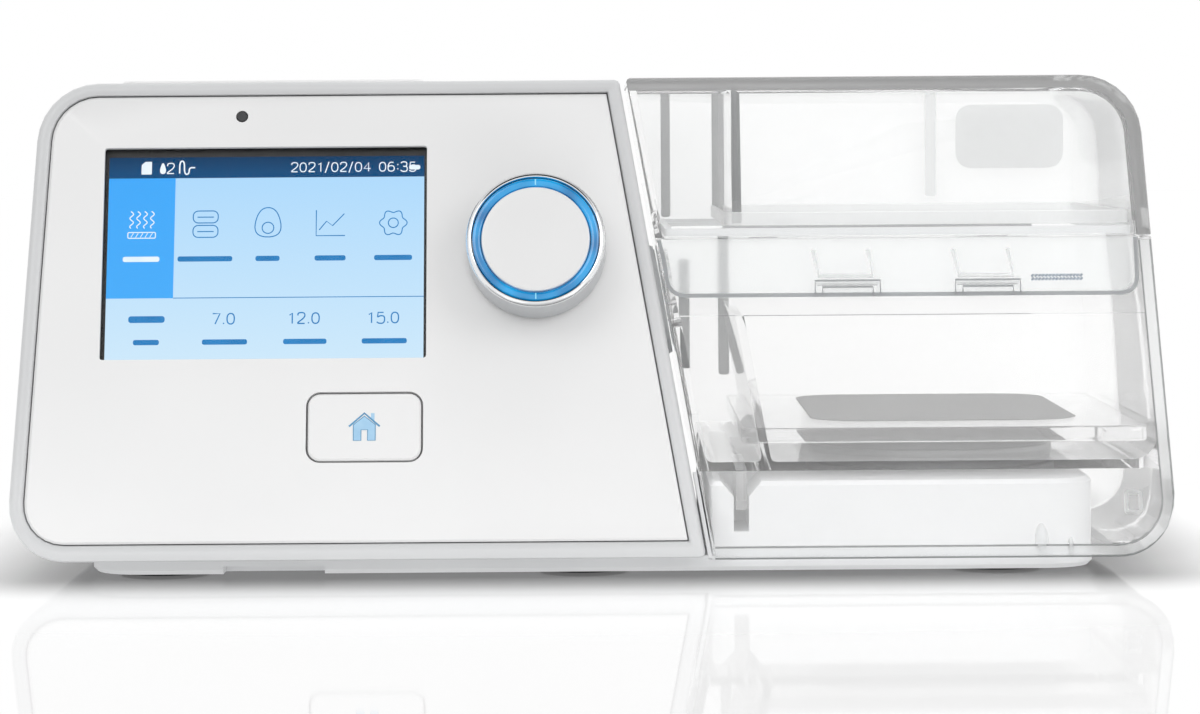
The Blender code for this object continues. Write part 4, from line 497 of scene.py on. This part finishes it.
def makeDial():
    # ring: half an ellipse from the outer to the inner radius; trim: a long outer bevel; cap: a cosine's dish
    outer, wall = dial["trimOut"], dial["trimOut"] - dial["trimIn"]
    trim = [(outer - wall * inward, dial["trimFront"] + back * mm) for inward, back in dialBevel]
    trim = [(outer, dial["skirtFront"])] + trim + [(dial["trimIn"], dial["skirtFront"])]
    turnedPiece("dialTrim", trim, "platedChrome", ("knob_trim",))
    front = dial["skirtFront"] + dial["skirtGap"]
    skirt = [(outer, dial["trimBack"]), (outer, front), (dial["skirtIn"], front),
             (dial["skirtIn"], dial["trimBack"])]
    turnedPiece("dialSkirt", skirt, "satinChrome")
    half = np.linspace(0, np.pi, 17)
    middle = (dial["ringOut"] + dial["ringIn"]) / 2
    radius = middle + (dial["ringOut"] - dial["ringIn"]) / 2 * np.cos(half)
    depth = dial["ringFront"] + dial["bead"] * (1 - np.sin(half))
    ring = [(dial["ringOut"], dial["ringBack"])] + list(zip(radius.tolist(), depth.tolist()))
    ring += [(dial["ringIn"], dial["ringBack"])]
    turnedPiece("dialLightRing", ring, "litBlueAcrylic", ("knob_light_ring",))
    share = np.linspace(1, 0, 25)
    depth = dial["capFront"] + dial["dish"] * (1 + np.cos(np.pi * share)) / 2
    radius = (dial["capOut"] - dial["capRound"]) * share
    cap = [(0.0, dial["capBack"]), (dial["capOut"], dial["capBack"]),
           (dial["capOut"], dial["capFront"] + dial["capRound"]),
           (dial["capOut"] - dial["capEdge"], dial["capFront"] + dial["capEdge"])]
    cap += list(zip(radius.tolist(), depth.tolist()))
    turnedPiece("dialCap", cap, "panelAbs", ("knob_cap",), closed=False)
    # painted glints: two short pale strokes across the ring, above and below its middle
    near = dial["ringFront"] - dial["seamLift"]
    far = dial["ringFront"] + dial["seamSink"]
    glints = []
    for side in (-1, 1):
        reaches = (dial["ringIn"] + dial["seamInset"], dial["ringOut"] - dial["seamInset"])
        path = [(dial["x"], dial["rise"] + side * reach) for reach in reaches]
        glints.append(stroke(path, dial["seamWidth"], near, far))
    makePiece("dialPaintedGlints", glints, "glintBlue", "dial")


# The screen: places in millimetres from the lit area's lower left corner
screen = {"left": -111.97 * mm, "foot": 48.12 * mm, "width": 73.44, "height": 48.96, "statusFoot": 43.87,
          "tileRight": 15.5, "tileFoot": 14.8, "maskDepth": (3.04, 3.08), "backDepth": (3.21, 3.27),
          "zoneDepth": (3.14, 3.19), "lineDepth": (3.05, 3.11), "line": 0.24,
          "iconColumns": (7.9, 22.7, 37.2, 51.7, 66.3), "iconHeight": 32.6, "labelHeight": 24.2,
          "labelWidths": (8.5, 12.7, 5.6, 7.2, 8.8), "valueColumns": (9.5, 27.6, 46.1, 64.4),
          "valueHeight": 8.5, "valueLabelHeight": 4.2, "valueLabelWidths": (6.0, 10.4, 10.0, 10.4),
          "numberHeight": 2.5, "numberLine": 0.3, "maskSide": 2.4, "maskFoot": 2.0, "maskHead": 3.2,
          "ruleLine": 0.18, "modeWord": (9.5, 9.7, 8.4, 1.6), "values": ("7.0", "12.0", "15.0"),
          "barRound": 0.4}

# Strokes of each figure in a box 4 wide and 6 high: points, closed, softened
figures = {
    "0": [([(0, 0), (4, 0), (4, 6), (0, 6)], True, True)],
    "1": [([(0.8, 4.8), (2.3, 6), (2.3, 0)], False, False)],
    "2": [([(0.2, 4.6), (0.3, 6.2), (3.9, 6.3), (4.2, 3.6), (0.2, 0.6), (0.1, 0)], False, True),
          ([(0.1, 0), (4, 0)], False, False)],
    "3": [([(0.2, 5.4), (1, 6.3), (4, 6.2), (3.9, 3.2), (1.6, 3.2)], False, True),
          ([(1.6, 3.2), (4.2, 3.2), (4.3, -0.2), (1, -0.3), (0, 0.7)], False, True)],
    "4": [([(3, 0), (3, 6), (0, 1.9), (4.3, 1.9)], False, False)],
    "5": [([(3.7, 6), (0.7, 6), (0.4, 3.3)], False, False),
          ([(0.4, 3.3), (2, 4.2), (4.4, 3.9), (4.2, -0.2), (1, -0.3), (0, 0.6)], False, True)],
    "6": [([(3.5, 5.9), (1.2, 6.2), (0, 4), (0, 2)], False, True),
          ([(0, 0), (4, 0), (4, 3.7), (0, 3.7)], True, True)],
    "7": [([(0, 6), (4, 6), (1.4, 0)], False, False)],
    "/": [([(0, -0.8), (2.4, 6.6)], False, False)],
    ".": [([(0.5, 0), (0.5, 0.7)], False, False)],
    ":": [([(0.7, 1.2), (0.7, 1.9)], False, False), ([(0.7, 4.1), (0.7, 4.8)], False, False)],
}
figureAdvance = {"1": 5.2, "/": 4.2, ".": 2.4, ":": 2.6, " ": 4.5}
commonAdvance = 5.6
figureHeight = 6

# The outlines of four pictograms, from the middle of each: points and whether they close
pictograms = [
    [(roundedBox((-2.9, 0.3), (2.9, 3.2), 1.2), True), (roundedBox((-2.9, -3.2), (2.9, -0.3), 1.2), True),
     ([(-1.9, 1.7), (1.9, 1.7)], False), ([(-1.9, -1.8), (1.9, -1.8)], False)],
    [(softened([(-3.6, -3.2), (3.6, -3.2), (2.2, 3.9), (-2.2, 3.9)], True), True),
     (ringPath(0, -1.0, 1.35, 32), True)],
    [([(-3.3, 3.2), (-3.3, -3.0), (3.4, -3.0)], False),
     ([(-2.6, -1.6), (-0.9, 0.5), (0.5, -0.6), (3.2, 2.3)], False)],
    [(ringPath(0, 0, 2.85, 72, 6, 0.35), True), (ringPath(0, 0, 1.15, 32), True)],
]

# The fifth, a heated plate: waves over a bar with slanted hatching
steam = {"places": (-2.4, -0.8, 0.8, 2.4), "low": -0.9, "high": 3.2, "sway": 0.42, "pace": 3.1,
         "barLow": (-3.2, -3.3), "barHigh": (3.2, -1.9), "barRound": 0.3, "hatchReach": 2.2,
         "hatch": ((-0.3, -3.1), (0.3, -2.1)), "hatchLine": 0.16}

# The status bar: a card, a drop with its number, a hose, the date, and a word's bar
status = {"card": [(7.5, 44.8), (9.9, 44.8), (9.9, 47.9), (8.4, 47.9), (7.5, 47.1)],
          "drop": [(12.5, 48.1), (13.3, 45.9), (13.0, 44.9), (12.0, 44.9), (11.7, 45.9)],
          "level": ("2", 14.6, 45.0, 2.4), "hoseLine": 0.34, "date": ("2021/02/04 06:35", 57.2, 45.2, 2.15),
          "hose": [(16.4, 45.0), (16.4, 48.0), (17.5, 48.0), (17.5, 44.8), (18.6, 44.8), (18.6, 46.4),
                   (20.0, 46.4)], "word": (71.2, 46.1, 2.6, 1.1)}


def onScreen(path):
    return np.asarray(path, float) * mm + (screen["left"], screen["foot"])


def screenLine(path, closed=False, width=None):
    near, far = screen["lineDepth"]
    return stroke(onScreen(path), (width or screen["line"]) * mm, near * mm, far * mm, closed)


def screenPlate(outline, depths):
    return plate(onScreen(outline), depths[0] * mm, depths[1] * mm)


def box(left, foot, right, head):
    return [(left, foot), (right, foot), (right, head), (left, head)]


def wordBar(x, y, width, height=1.25):
    # a word's place, kept as a plain rounded bar
    low = (x - width / 2, y - height / 2)
    high = (x + width / 2, y + height / 2)
    return screenPlate(roundedBox(low, high, height * screen["barRound"]), screen["lineDepth"])


def writeNumber(text, x, y, height, width=None):
    # plain figures, centred on x, with their feet at y
    scale = height / figureHeight
    length = sum(figureAdvance.get(mark, commonAdvance) for mark in text) * scale
    lumps = []
    pen = x - length / 2
    for mark in text:
        for points, closed, soft in figures.get(mark, []):
            path = softened(points, closed) if soft else np.asarray(points, float)
            lumps.append(screenLine(path * scale + (pen, y), closed, width))
        pen += figureAdvance.get(mark, commonAdvance) * scale
    return lumps


def screenArea(name, area, depths, finish):
    makePiece(name, [screenPlate(box(*area), depths)], finish, "machine")


def makeScreen():
    wide, high, head = screen["width"], screen["height"], screen["statusFoot"]
    left, right, foot = -screen["maskSide"], wide + screen["maskSide"], -screen["maskFoot"]
    top = high + screen["maskHead"]
    sides = [(left, foot, 0, top), (wide, foot, right, top), (0, foot, wide, 0), (0, high, wide, top)]
    mask = [screenPlate(box(*side), screen["maskDepth"]) for side in sides]
    makePiece("screenMask", mask, "blackPrint", "machine")
    screenArea("screenField", (0, 0, wide, head), screen["backDepth"], "screenLight")
    screenArea("screenStatus", (0, head, wide, high), screen["backDepth"], "screenNavy")
    tile = (0, screen["tileFoot"], screen["tileRight"], head)
    screenArea("screenTile", tile, screen["zoneDepth"], "screenBlue")
    columns = screen["iconColumns"]
    middle = np.array((columns[0], screen["iconHeight"]))
    rise = np.linspace(steam["low"], steam["high"], 24)
    wave = np.stack([steam["sway"] * np.sin(rise * steam["pace"]), rise], 1)
    pale = [screenLine(wave + middle + (place, 0)) for place in steam["places"]]
    bar = roundedBox(steam["barLow"], steam["barHigh"], steam["barRound"])
    pale.append(screenLine(bar + middle, True))
    for place in np.linspace(-steam["hatchReach"], steam["hatchReach"], 5):
        pale.append(screenLine(np.array(steam["hatch"]) + middle + (place, 0), width=steam["hatchLine"]))
    pale.append(wordBar(columns[0], screen["labelHeight"], screen["labelWidths"][0]))
    pale.append(screenPlate(status["card"], screen["lineDepth"]))
    pale.append(screenPlate(softened(status["drop"], True), screen["lineDepth"]))
    pale += writeNumber(*status["level"])
    pale.append(screenLine(softened(status["hose"], rounds=2), width=status["hoseLine"]))
    pale += writeNumber(*status["date"])
    pale.append(wordBar(*status["word"]))
    makePiece("screenPaleMarks", pale, "screenWhite", "machine")
    blue = []
    for x, outlines in zip(columns[1:], pictograms):
        middle = np.array((x, screen["iconHeight"]))
        blue += [screenLine(np.asarray(points) + middle, closed) for points, closed in outlines]
    for x, width in zip(columns[1:], screen["labelWidths"][1:]):
        blue.append(wordBar(x, screen["labelHeight"], width))
    rule = [(screen["tileRight"], screen["tileFoot"]), (wide, screen["tileFoot"])]
    blue.append(screenLine(rule, width=screen["ruleLine"]))
    for x, number in zip(screen["valueColumns"][1:], screen["values"]):
        blue += writeNumber(number, x, screen["valueHeight"], screen["numberHeight"], screen["numberLine"])
    blue.append(wordBar(*screen["modeWord"]))
    for x, width in zip(screen["valueColumns"], screen["valueLabelWidths"]):
        blue.append(wordBar(x, screen["valueLabelHeight"], width))
    makePiece("screenBlueMarks", blue, "screenLineBlue", "machine")


# The house on the button, from the button's middle
house = inMetres({"middle": (-51.8, 31.3), "depth": (0.26, 0.31), "lift": 0.02, "roofLine": 0.42,
                  "wallLine": 0.2, "roof": ((-3.5, 0.1), (0, 3.2), (3.5, 0.1)),
                  "walls": ((-2.5, -3.2), (-0.75, -3.2), (-0.75, -0.7), (0.75, -0.7), (0.75, -3.2),
                            (2.5, -3.2), (2.5, 0.5), (0, 2.5), (-2.5, 0.5)),
                  "chimney": ((1.5, 1.9), (2.3, 1.2), (2.3, 3.2), (1.5, 3.2))})


def makeHouse():
    roof, walls, chimney = (np.array(house[part]) + house["middle"] for part in ("roof", "walls", "chimney"))
    near, far = house["depth"]
    fill = [plate(walls, near, far), plate(chimney, near, far)]
    makePiece("housePrint", fill, "paleBluePrint", "home")
    near, far = near - house["lift"], far - house["lift"]
    lines = [stroke(roof, house["roofLine"], near, far), stroke(walls, house["wallLine"], near, far, True)]
    makePiece("houseLines", lines, "midBluePrint", "home")


# The flap's edge and its two snap catches; a hook's corner drops by a share of its inset
flap = inMetres({"catchLefts": (51.8, 84.1), "catchWidth": 15, "hookFoot": 62.9, "hookHead": 66.4,
                 "hookInset": 1.7, "hookLine": 0.38, "hookDepth": (-0.24, 0.1), "rib": 0.9, "ribHead": 73.4,
                 "ribFoot": 67.4, "ribPlaces": (-0.4, 0.9, 13.3, 12.3), "ribDepth": (-0.22, 0.1),
                 "ribBevel": 0.1, "edgeLefts": (15.9, 18.1), "edgeRight": 126.0, "edgeFoot": 63.2,
                 "edgeHead": 75.9, "edgeBend": 8.5, "edgeSlant": 1, "edgeWidth": 0.9,
                 "edgeDepth": (-0.12, 0.05)}) | {"hookDrop": 0.9}

# The fill mark behind it: two rows of slanted dashes
dash = inMetres({"left": 102.2, "right": 113.4, "height": 67.4, "rows": (-0.42, 0.42), "reach": 0.3,
                 "line": 0.5, "depth": (2.2, 2.28)}) | {"count": 15}


def makeFlapDetails():
    ribs = []
    lines = []
    ribHead, ribFoot = riseAt(flap["ribHead"]), riseAt(flap["ribFoot"])
    hookHead, hookFoot = riseAt(flap["hookHead"]), riseAt(flap["hookFoot"])
    for left in flap["catchLefts"]:
        right = left + flap["catchWidth"]
        a, b, c, d = (left + place for place in flap["ribPlaces"])
        rib = [(a, ribHead), (b, ribFoot), (c, ribFoot), (d, ribHead)]
        ribs.append(stroke(rib, flap["rib"], *flap["ribDepth"]))
        for inset in (0, flap["hookInset"]):
            top = hookHead - inset * flap["hookDrop"]
            near, far = left + inset, right - inset
            hook = [(near, hookFoot), (near, top), (far, top), (far, hookFoot)]
            lines.append(stroke(hook, flap["hookLine"], *flap["hookDepth"]))
    makePiece("flapRibs", ribs, "frostedCopolyester", "latch", bevel=flap["ribBevel"])
    upper, lower = flap["edgeLefts"]
    right, bend = flap["edgeRight"], flap["edgeBend"]
    foot, head = riseAt(flap["edgeFoot"]), riseAt(flap["edgeHead"])
    edge = [(upper, head), (lower - flap["edgeSlant"], foot + bend), (lower, foot), (lower + bend, foot),
            (right - bend, foot), (right, foot), (right, foot + bend), (right, head)]
    lines.append(stroke(softened(edge, rounds=4), flap["edgeWidth"], *flap["edgeDepth"]))
    # painted shade: grey strokes along the flap's edge and round its hooks
    makePiece("flapShadeLines", lines, "greyFrostAndEdgeShade", "latch")
    dashes = []
    rise, reach = riseAt(dash["height"]), dash["reach"]
    for x in np.linspace(dash["left"], dash["right"], dash["count"]):
        for row in dash["rows"]:
            path = [(x - reach, rise + row - reach), (x + reach, rise + row + reach)]
            dashes.append(stroke(path, dash["line"], *dash["depth"]))
    makePiece("fillMark", dashes, "fillMarkPrint", "tank")


# Ribs, beads and posts moulded into the lid and the tank; a rib is its left, right, foot and head
moulded = inMetres({
    "lidRib": (87, 89.8, 83.8, 110), "ribThickness": 1.4, "ribRound": 0.7, "ribBevel": 0.2,
    "lidBack": 62.3, "lidPane": (95, 123, 91, 107.5), "paneThickness": 0.25, "paneRound": 4,
    "lidBars": ((18.2, 20.6, 79, 110), (31.4, 34.4, 79, 111)),
    "tankBars": ((22.6, 25.4, 36, 68), (32.8, 35.6, 38, 75)), "barBack": 57.5, "barBevel": 0.3,
    "skirtLow": (31.5, -43.5), "skirtHigh": (125, 60.8), "skirtFoot": 79.0, "skirtHead": 82.0,
    "skirtThickness": 0.8, "skirtRound": 3, "skirtBevel": 0.15,
    "pips": (((102, 4.2, 2.6), (1.5, 3.8, 0.9)), ((108.6, 2.6, 2.6), (0.7, 2.2, 0.8))),
    "frameLow": (121.6, 10.6), "frameHigh": (124.9, 15.2), "frameRound": 0.6, "frameLine": 0.7,
    "frameDepth": (2.2, 3.6), "discMiddle": (81.6, -2), "discRadius": 30.4, "discFoot": 23.6,
    "discHead": 28.9, "discBevel": 0.5, "slabLow": (34.5, -58.5), "slabHigh": (128, 56),
    "slabFoot": 29.2, "slabHead": 32.8, "slabRound": 4, "slabBevel": 0.4, "patchLow": (52, -38),
    "patchHigh": (115, 52), "patchRound": 12, "patchThickness": 0.12})


def barPlate(bar, back, thickness, radius):
    left, right, foot, head = bar
    return plate(roundedBox((left, foot), (right, head), radius), back - thickness, back, uprightPoints)


def makeMouldedDetails():
    back, thickness, radius = moulded["lidBack"], moulded["ribThickness"], moulded["ribRound"]
    makePiece("lidRib", [barPlate(moulded["lidRib"], back, thickness, radius)], "frostedCopolyester", "lid",
              bevel=moulded["ribBevel"])
    pane = barPlate(moulded["lidPane"], back, moulded["paneThickness"], moulded["paneRound"])
    makePiece("lidPane", [pane], "hazyCopolyester", "lid")
    # the bars are grey painted shade, where the clear walls look dark
    for name, body in (("lidBars", "lid"), ("tankBars", "tank")):
        lumps = [barPlate(bar, moulded["barBack"], thickness, radius) for bar in moulded[name]]
        makePiece(name, lumps, "paintedShadeGrey", body, bevel=moulded["barBevel"])
    path = roundedBox(moulded["skirtLow"], moulded["skirtHigh"], moulded["skirtRound"], steps=8)
    skirt = stroke(path, moulded["skirtThickness"], moulded["skirtFoot"], moulded["skirtHead"], True,
                   levelPoints)
    makePiece("lidSkirt", [skirt], "frostedCopolyester", "lid", bevel=moulded["skirtBevel"])
    pips = [lump(centre, sizes) for centre, sizes in moulded["pips"]]
    path = roundedBox(moulded["frameLow"], moulded["frameHigh"], moulded["frameRound"])
    pips.append(stroke(path, moulded["frameLine"], *moulded["frameDepth"], True))
    makePiece("tankPips", pips, "frostedCopolyester", "tank")
    # the raised floor over the heating disc, with its eroded patch
    disc = plate(ringPath(*moulded["discMiddle"], moulded["discRadius"], count=96), moulded["discFoot"],
                 moulded["discHead"], levelPoints)
    makePiece("heatingDisc", [disc], "greyFrostAndEdgeShade", "tank", bevel=moulded["discBevel"])
    head = moulded["slabHead"]
    slab = plate(roundedBox(moulded["slabLow"], moulded["slabHigh"], moulded["slabRound"]),
                 moulded["slabFoot"], head, levelPoints)
    makePiece("tankFloor", [slab], "clearCopolyester", "tank", bevel=moulded["slabBevel"])
    patch = plate(roundedBox(moulded["patchLow"], moulded["patchHigh"], moulded["patchRound"], steps=10),
                  head, head + moulded["patchThickness"], levelPoints)
    makePiece("erodedPatch", [patch], "speckledCopolyester", "tank")


# The tank's front: a pale band of painted highlight between two fine lines of painted shade, standing for a
# rounded rim along its foot and up its drafted right side;
# a white strip on the housing, painted light, covers the view into the dark gap beside the tank
rim = inMetres({"left": 27.9, "widest": 132.5, "corner": 13, "foot": 4.6, "head": 75.8, "lead": 4,
                "band": 2.4, "inset": 1.5, "line": 0.35, "depth": (2.0, 2.28), "stripDepth": (0.8, 3),
                "strip": ((26.35, 0.3), (27.2, 0.3), (23.9, 20.3), (23.05, 20.3))})
rim |= {"draft": 0.0455, "bandShare": 0.8}


def rimPath(inset):
    # along the foot, a quarter circle round the corner, then up the drafted side
    turn = np.linspace(-np.pi / 2, 0, 13)
    middleX = rim["widest"] - rim["corner"]
    middleZ = rim["foot"] + rim["corner"]
    reach = rim["corner"] - inset
    z = np.concatenate([np.full(2, rim["foot"] + inset), middleZ + reach * np.sin(turn), [rim["head"]]])
    x = np.concatenate([[rim["left"], middleX - rim["lead"]], middleX + reach * np.cos(turn),
                        [rim["widest"] - inset - rim["draft"] * (rim["head"] - middleZ)]])
    return np.stack([x, riseAt(z)], 1)


def makeTankRim():
    inset, band = rim["inset"], rim["band"]
    # painted highlight: the pale band along the rim
    pale = [stroke(rimPath(inset), band * rim["bandShare"], *rim["depth"])]
    makePiece("tankRimHighlight", pale, "frostedCopolyester", "tank")
    # painted shade: the two grey lines along the rim's edges
    lines = [stroke(rimPath(inset + side * band / 2), rim["line"], *rim["depth"]) for side in (-1, 1)]
    makePiece("tankRimShadeLines", lines, "paintedShadeGrey", "tank")
    # painted light: a white strip where the gap beside the tank would show dark
    makePiece("gapLightStrip", [plate(rim["strip"], *rim["stripDepth"])], "satinWhiteAbs", "machine")


# Foam and felt, fuller than their plain solids; a smaller power gives squarer corners
soft = inMetres({"foamLow": (-112, -28, 52.6), "foamHigh": (-32, 44, 64.4), "hole": (-72, 4.5),
                 "holeRadius": 17.4, "felt": (-84, 81, 57.85), "feltHalf": (26.5, 20.5, 5.1),
                 "pleatHeight": 0.3, "pleat": 3.5})
soft |= {"outerPower": 0.3, "sectionPower": 0.35, "feltPower": 0.22, "dimples": 12, "dimple": 0.06,
         "foamCount": (48, 160), "feltCount": (220, 60)}


def makeSoftPieces():
    # the foam: an angle round the hole, and a rounded square as the section from the hole outwards
    sections, turns = soft["foamCount"]
    turn = np.linspace(0, 2 * np.pi, turns, endpoint=False)[None, :]
    part = np.linspace(0, 2 * np.pi, sections, endpoint=False)[:, None]
    low = np.array(soft["foamLow"])
    high = np.array(soft["foamHigh"])
    middle = (low + high) / 2
    half = (high - low) / 2
    outerX = middle[0] + half[0] * raised(np.cos(turn), soft["outerPower"])
    outerY = middle[1] + half[1] * raised(np.sin(turn), soft["outerPower"])
    innerX = soft["hole"][0] + soft["holeRadius"] * np.cos(turn)
    innerY = soft["hole"][1] + soft["holeRadius"] * np.sin(turn)
    share = (1 + raised(np.cos(part), soft["sectionPower"])) / 2
    dimple = 1 - soft["dimple"] * np.cos(soft["dimples"] * turn) * np.sin(np.pi * share)
    x = innerX + (outerX - innerX) * share
    y = innerY + (outerY - innerY) * share
    z = middle[2] + half[2] * raised(np.sin(part), soft["sectionPower"]) * dimple
    foam = np.stack([x, y, z], -1).reshape(-1, 3), gridFaces(sections, turns, True, True).tolist()
    foam = makePiece("mufflerFoam", [foam], "openCellFoam", "machine", ("muffler_foam",))
    pad = lump(soft["felt"], soft["feltHalf"], soft["feltPower"], soft["feltCount"], uprightPoints,
               soft["pleatHeight"], soft["pleat"])
    felt = makePiece("filterPad", [pad], "filterFelt", "machine", ("air_filter",))


makeDial()
makeScreen()
makeHouse()
makeFlapDetails()
makeMouldedDetails()
makeTankRim()
makeSoftPieces()
print("details made")


# The floor: white paper near the machine, with its rendered shadow deepened by a painted contact shadow, a
# faint mirror image, and light farther off
floor = {"reach": 6.0, "paper": "#FBFBFB", "mirror": 0.2, "blur": 0.04, "glow": 0.09, "lift": 0.85,
         "bounce": 0.5, "shape": (0.5, 1, 1), "near": 0.08, "far": 0.19, "footprint": (0.114, 0.066, 0),
         "paintedShadowReach": 0.045, "dim": 0.12}


def makeFloor():
    mesh = bpy.data.meshes.new("floor")
    reach = floor["reach"]
    corners = [(-reach, -reach, 0), (reach, -reach, 0), (reach, reach, 0), (-reach, reach, 0)]
    mesh.from_pydata(corners, [], [(0, 1, 2, 3)])
    sheet = newObject("floor", mesh)
    material, tree, shader, place = startMaterial("palePaper")
    paint({"Roughness": 0.6, "Specular IOR Level": 0.0, "Emission Color": (1, 1, 1, 1)}, shader)
    path = addNode(tree, "ShaderNodeLightPath")
    lift = ramp(tree, (path, "Is Diffuse Ray"), values=(floor["glow"], floor["lift"]))
    join(tree, lift, "Result", shader, "Emission Strength")
    # painted contact shadow: the paper's colour darkens by a ramp over the distance from the machine's
    # outline
    close = addNode(tree, "ShaderNodeVectorMath", None, {0: (place, "Object")}, operation="ABSOLUTE")
    for operation, second in (("SUBTRACT", floor["footprint"]), ("MAXIMUM", (0, 0, 0))):
        close = addNode(tree, "ShaderNodeVectorMath", {1: second}, {0: (close, "Vector")},
                        operation=operation)
    close = addNode(tree, "ShaderNodeVectorMath", None, {0: (close, "Vector")}, operation="LENGTH")
    tones = ramp(tree, (close, "Value"), (0.0, floor["paintedShadowReach"]), (floor["dim"], linear(floor["paper"])[0]),
                 interpolation_type="SMOOTHSTEP")
    join(tree, tones, "Result", shader, "Base Color")
    shrunk = addNode(tree, "ShaderNodeMapping", {"Scale": floor["shape"]}, {"Vector": (place, "Object")})
    away = addNode(tree, "ShaderNodeVectorMath", None, {0: (shrunk, "Vector")}, operation="LENGTH")
    share = ramp(tree, (away, "Value"), (floor["near"], floor["far"]), interpolation_type="SMOOTHSTEP")
    bounce = ramp(tree, (path, "Is Diffuse Ray"), values=(1.0, floor["bounce"]))
    light = addNode(tree, "ShaderNodeEmission", None, {"Strength": (bounce, "Result")})
    sheen = addNode(tree, "ShaderNodeBsdfGlossy", {"Color": (1, 1, 1, 1), "Roughness": floor["blur"]})
    both = addNode(tree, "ShaderNodeMixShader", None,
                   {"Fac": (share, "Result"), 1: (shader, "BSDF"), 2: (light, "Emission")})
    both = addNode(tree, "ShaderNodeMixShader", {"Fac": floor["mirror"]},
                   {1: (both, "Shader"), 2: (sheen, "BSDF")})
    join(tree, both, "Shader", tree.nodes["Material Output"], "Surface")
    mesh.materials.append(material)


# The room: white where it is seen, dimmer as light, and in mirrors dark overhead
room = {"light": 0.62, "overhead": 0.03, "darkFrom": 0.7, "darkTo": 0.85}


def makeWorld():
    world = bpy.data.worlds.new("studio")
    bpy.context.scene.world = world
    world.use_nodes = True
    tree = world.node_tree
    background = tree.nodes["Background"]
    paint({"Color": (1, 1, 1, 1)}, background)
    path = addNode(tree, "ShaderNodeLightPath")
    seen = addNode(tree, "ShaderNodeMath", None,
                   {0: (path, "Is Camera Ray"), 1: (path, "Is Transmission Ray")}, operation="MAXIMUM")
    toward = addNode(tree, "ShaderNodeTexCoord")
    height = addNode(tree, "ShaderNodeSeparateXYZ", None, {"Vector": (toward, "Generated")})
    mirrored = ramp(tree, (height, "Z"), (room["darkFrom"], room["darkTo"]), (1.0, room["overhead"]))
    mirror = ramp(tree, (path, "Is Glossy Ray"), values=(room["light"], 1.0),
                  links={"To Max": (mirrored, "Result")})
    strength = ramp(tree, (seen, "Value"), links={"To Min": (mirror, "Result")})
    join(tree, strength, "Result", background, "Strength")


# Soft lamps round the machine, all turned to one place in it
lampTarget = (0, 0, 0.06)
lamps = {
    "keyLamp": {"place": (-0.9, -1.3, 1.3), "size": 1.2, "power": 7.5},
    "fillLamp": {"place": (1.2, -1.0, 0.9), "size": 1.0, "power": 5.5},
    "topLamp": {"place": (0.1, 0.5, 1.6), "size": 1.4, "power": 8, "mirrored": False},
}


def makeLamps():
    target = Vector(lampTarget)
    for name, look in lamps.items():
        data = bpy.data.lights.new(name, "AREA")
        data.size = look["size"]
        data.energy = look["power"]
        lamp = newObject(name, data)
        lamp.visible_glossy = look.get("mirrored", True)
        lamp.location = look["place"]
        lamp.rotation_euler = (target - lamp.location).to_track_quat("-Z", "Y").to_euler()


# The photograph's view: a long lens, a little above the machine's top
view = {"place": (0.0021, -0.9217, 0.0993), "down": 3.3, "turn": -0.43, "lens": 113.2, "sensor": 36}


def makeCamera():
    data = bpy.data.cameras.new("camera")
    data.lens = view["lens"]
    data.sensor_width = view["sensor"]
    camera = newObject("camera", data)
    tilt = Matrix.Rotation(math.radians(90 - view["down"]), 4, "X")
    turn = Matrix.Rotation(math.radians(view["turn"]), 4, "Z")
    camera.matrix_world = Matrix.Translation(view["place"]) @ tilt @ turn
    bpy.context.scene.camera = camera


makeFloor()
makeWorld()
makeLamps()
makeCamera()
bpy.context.scene.view_settings.view_transform = "Standard"
print("stage set")
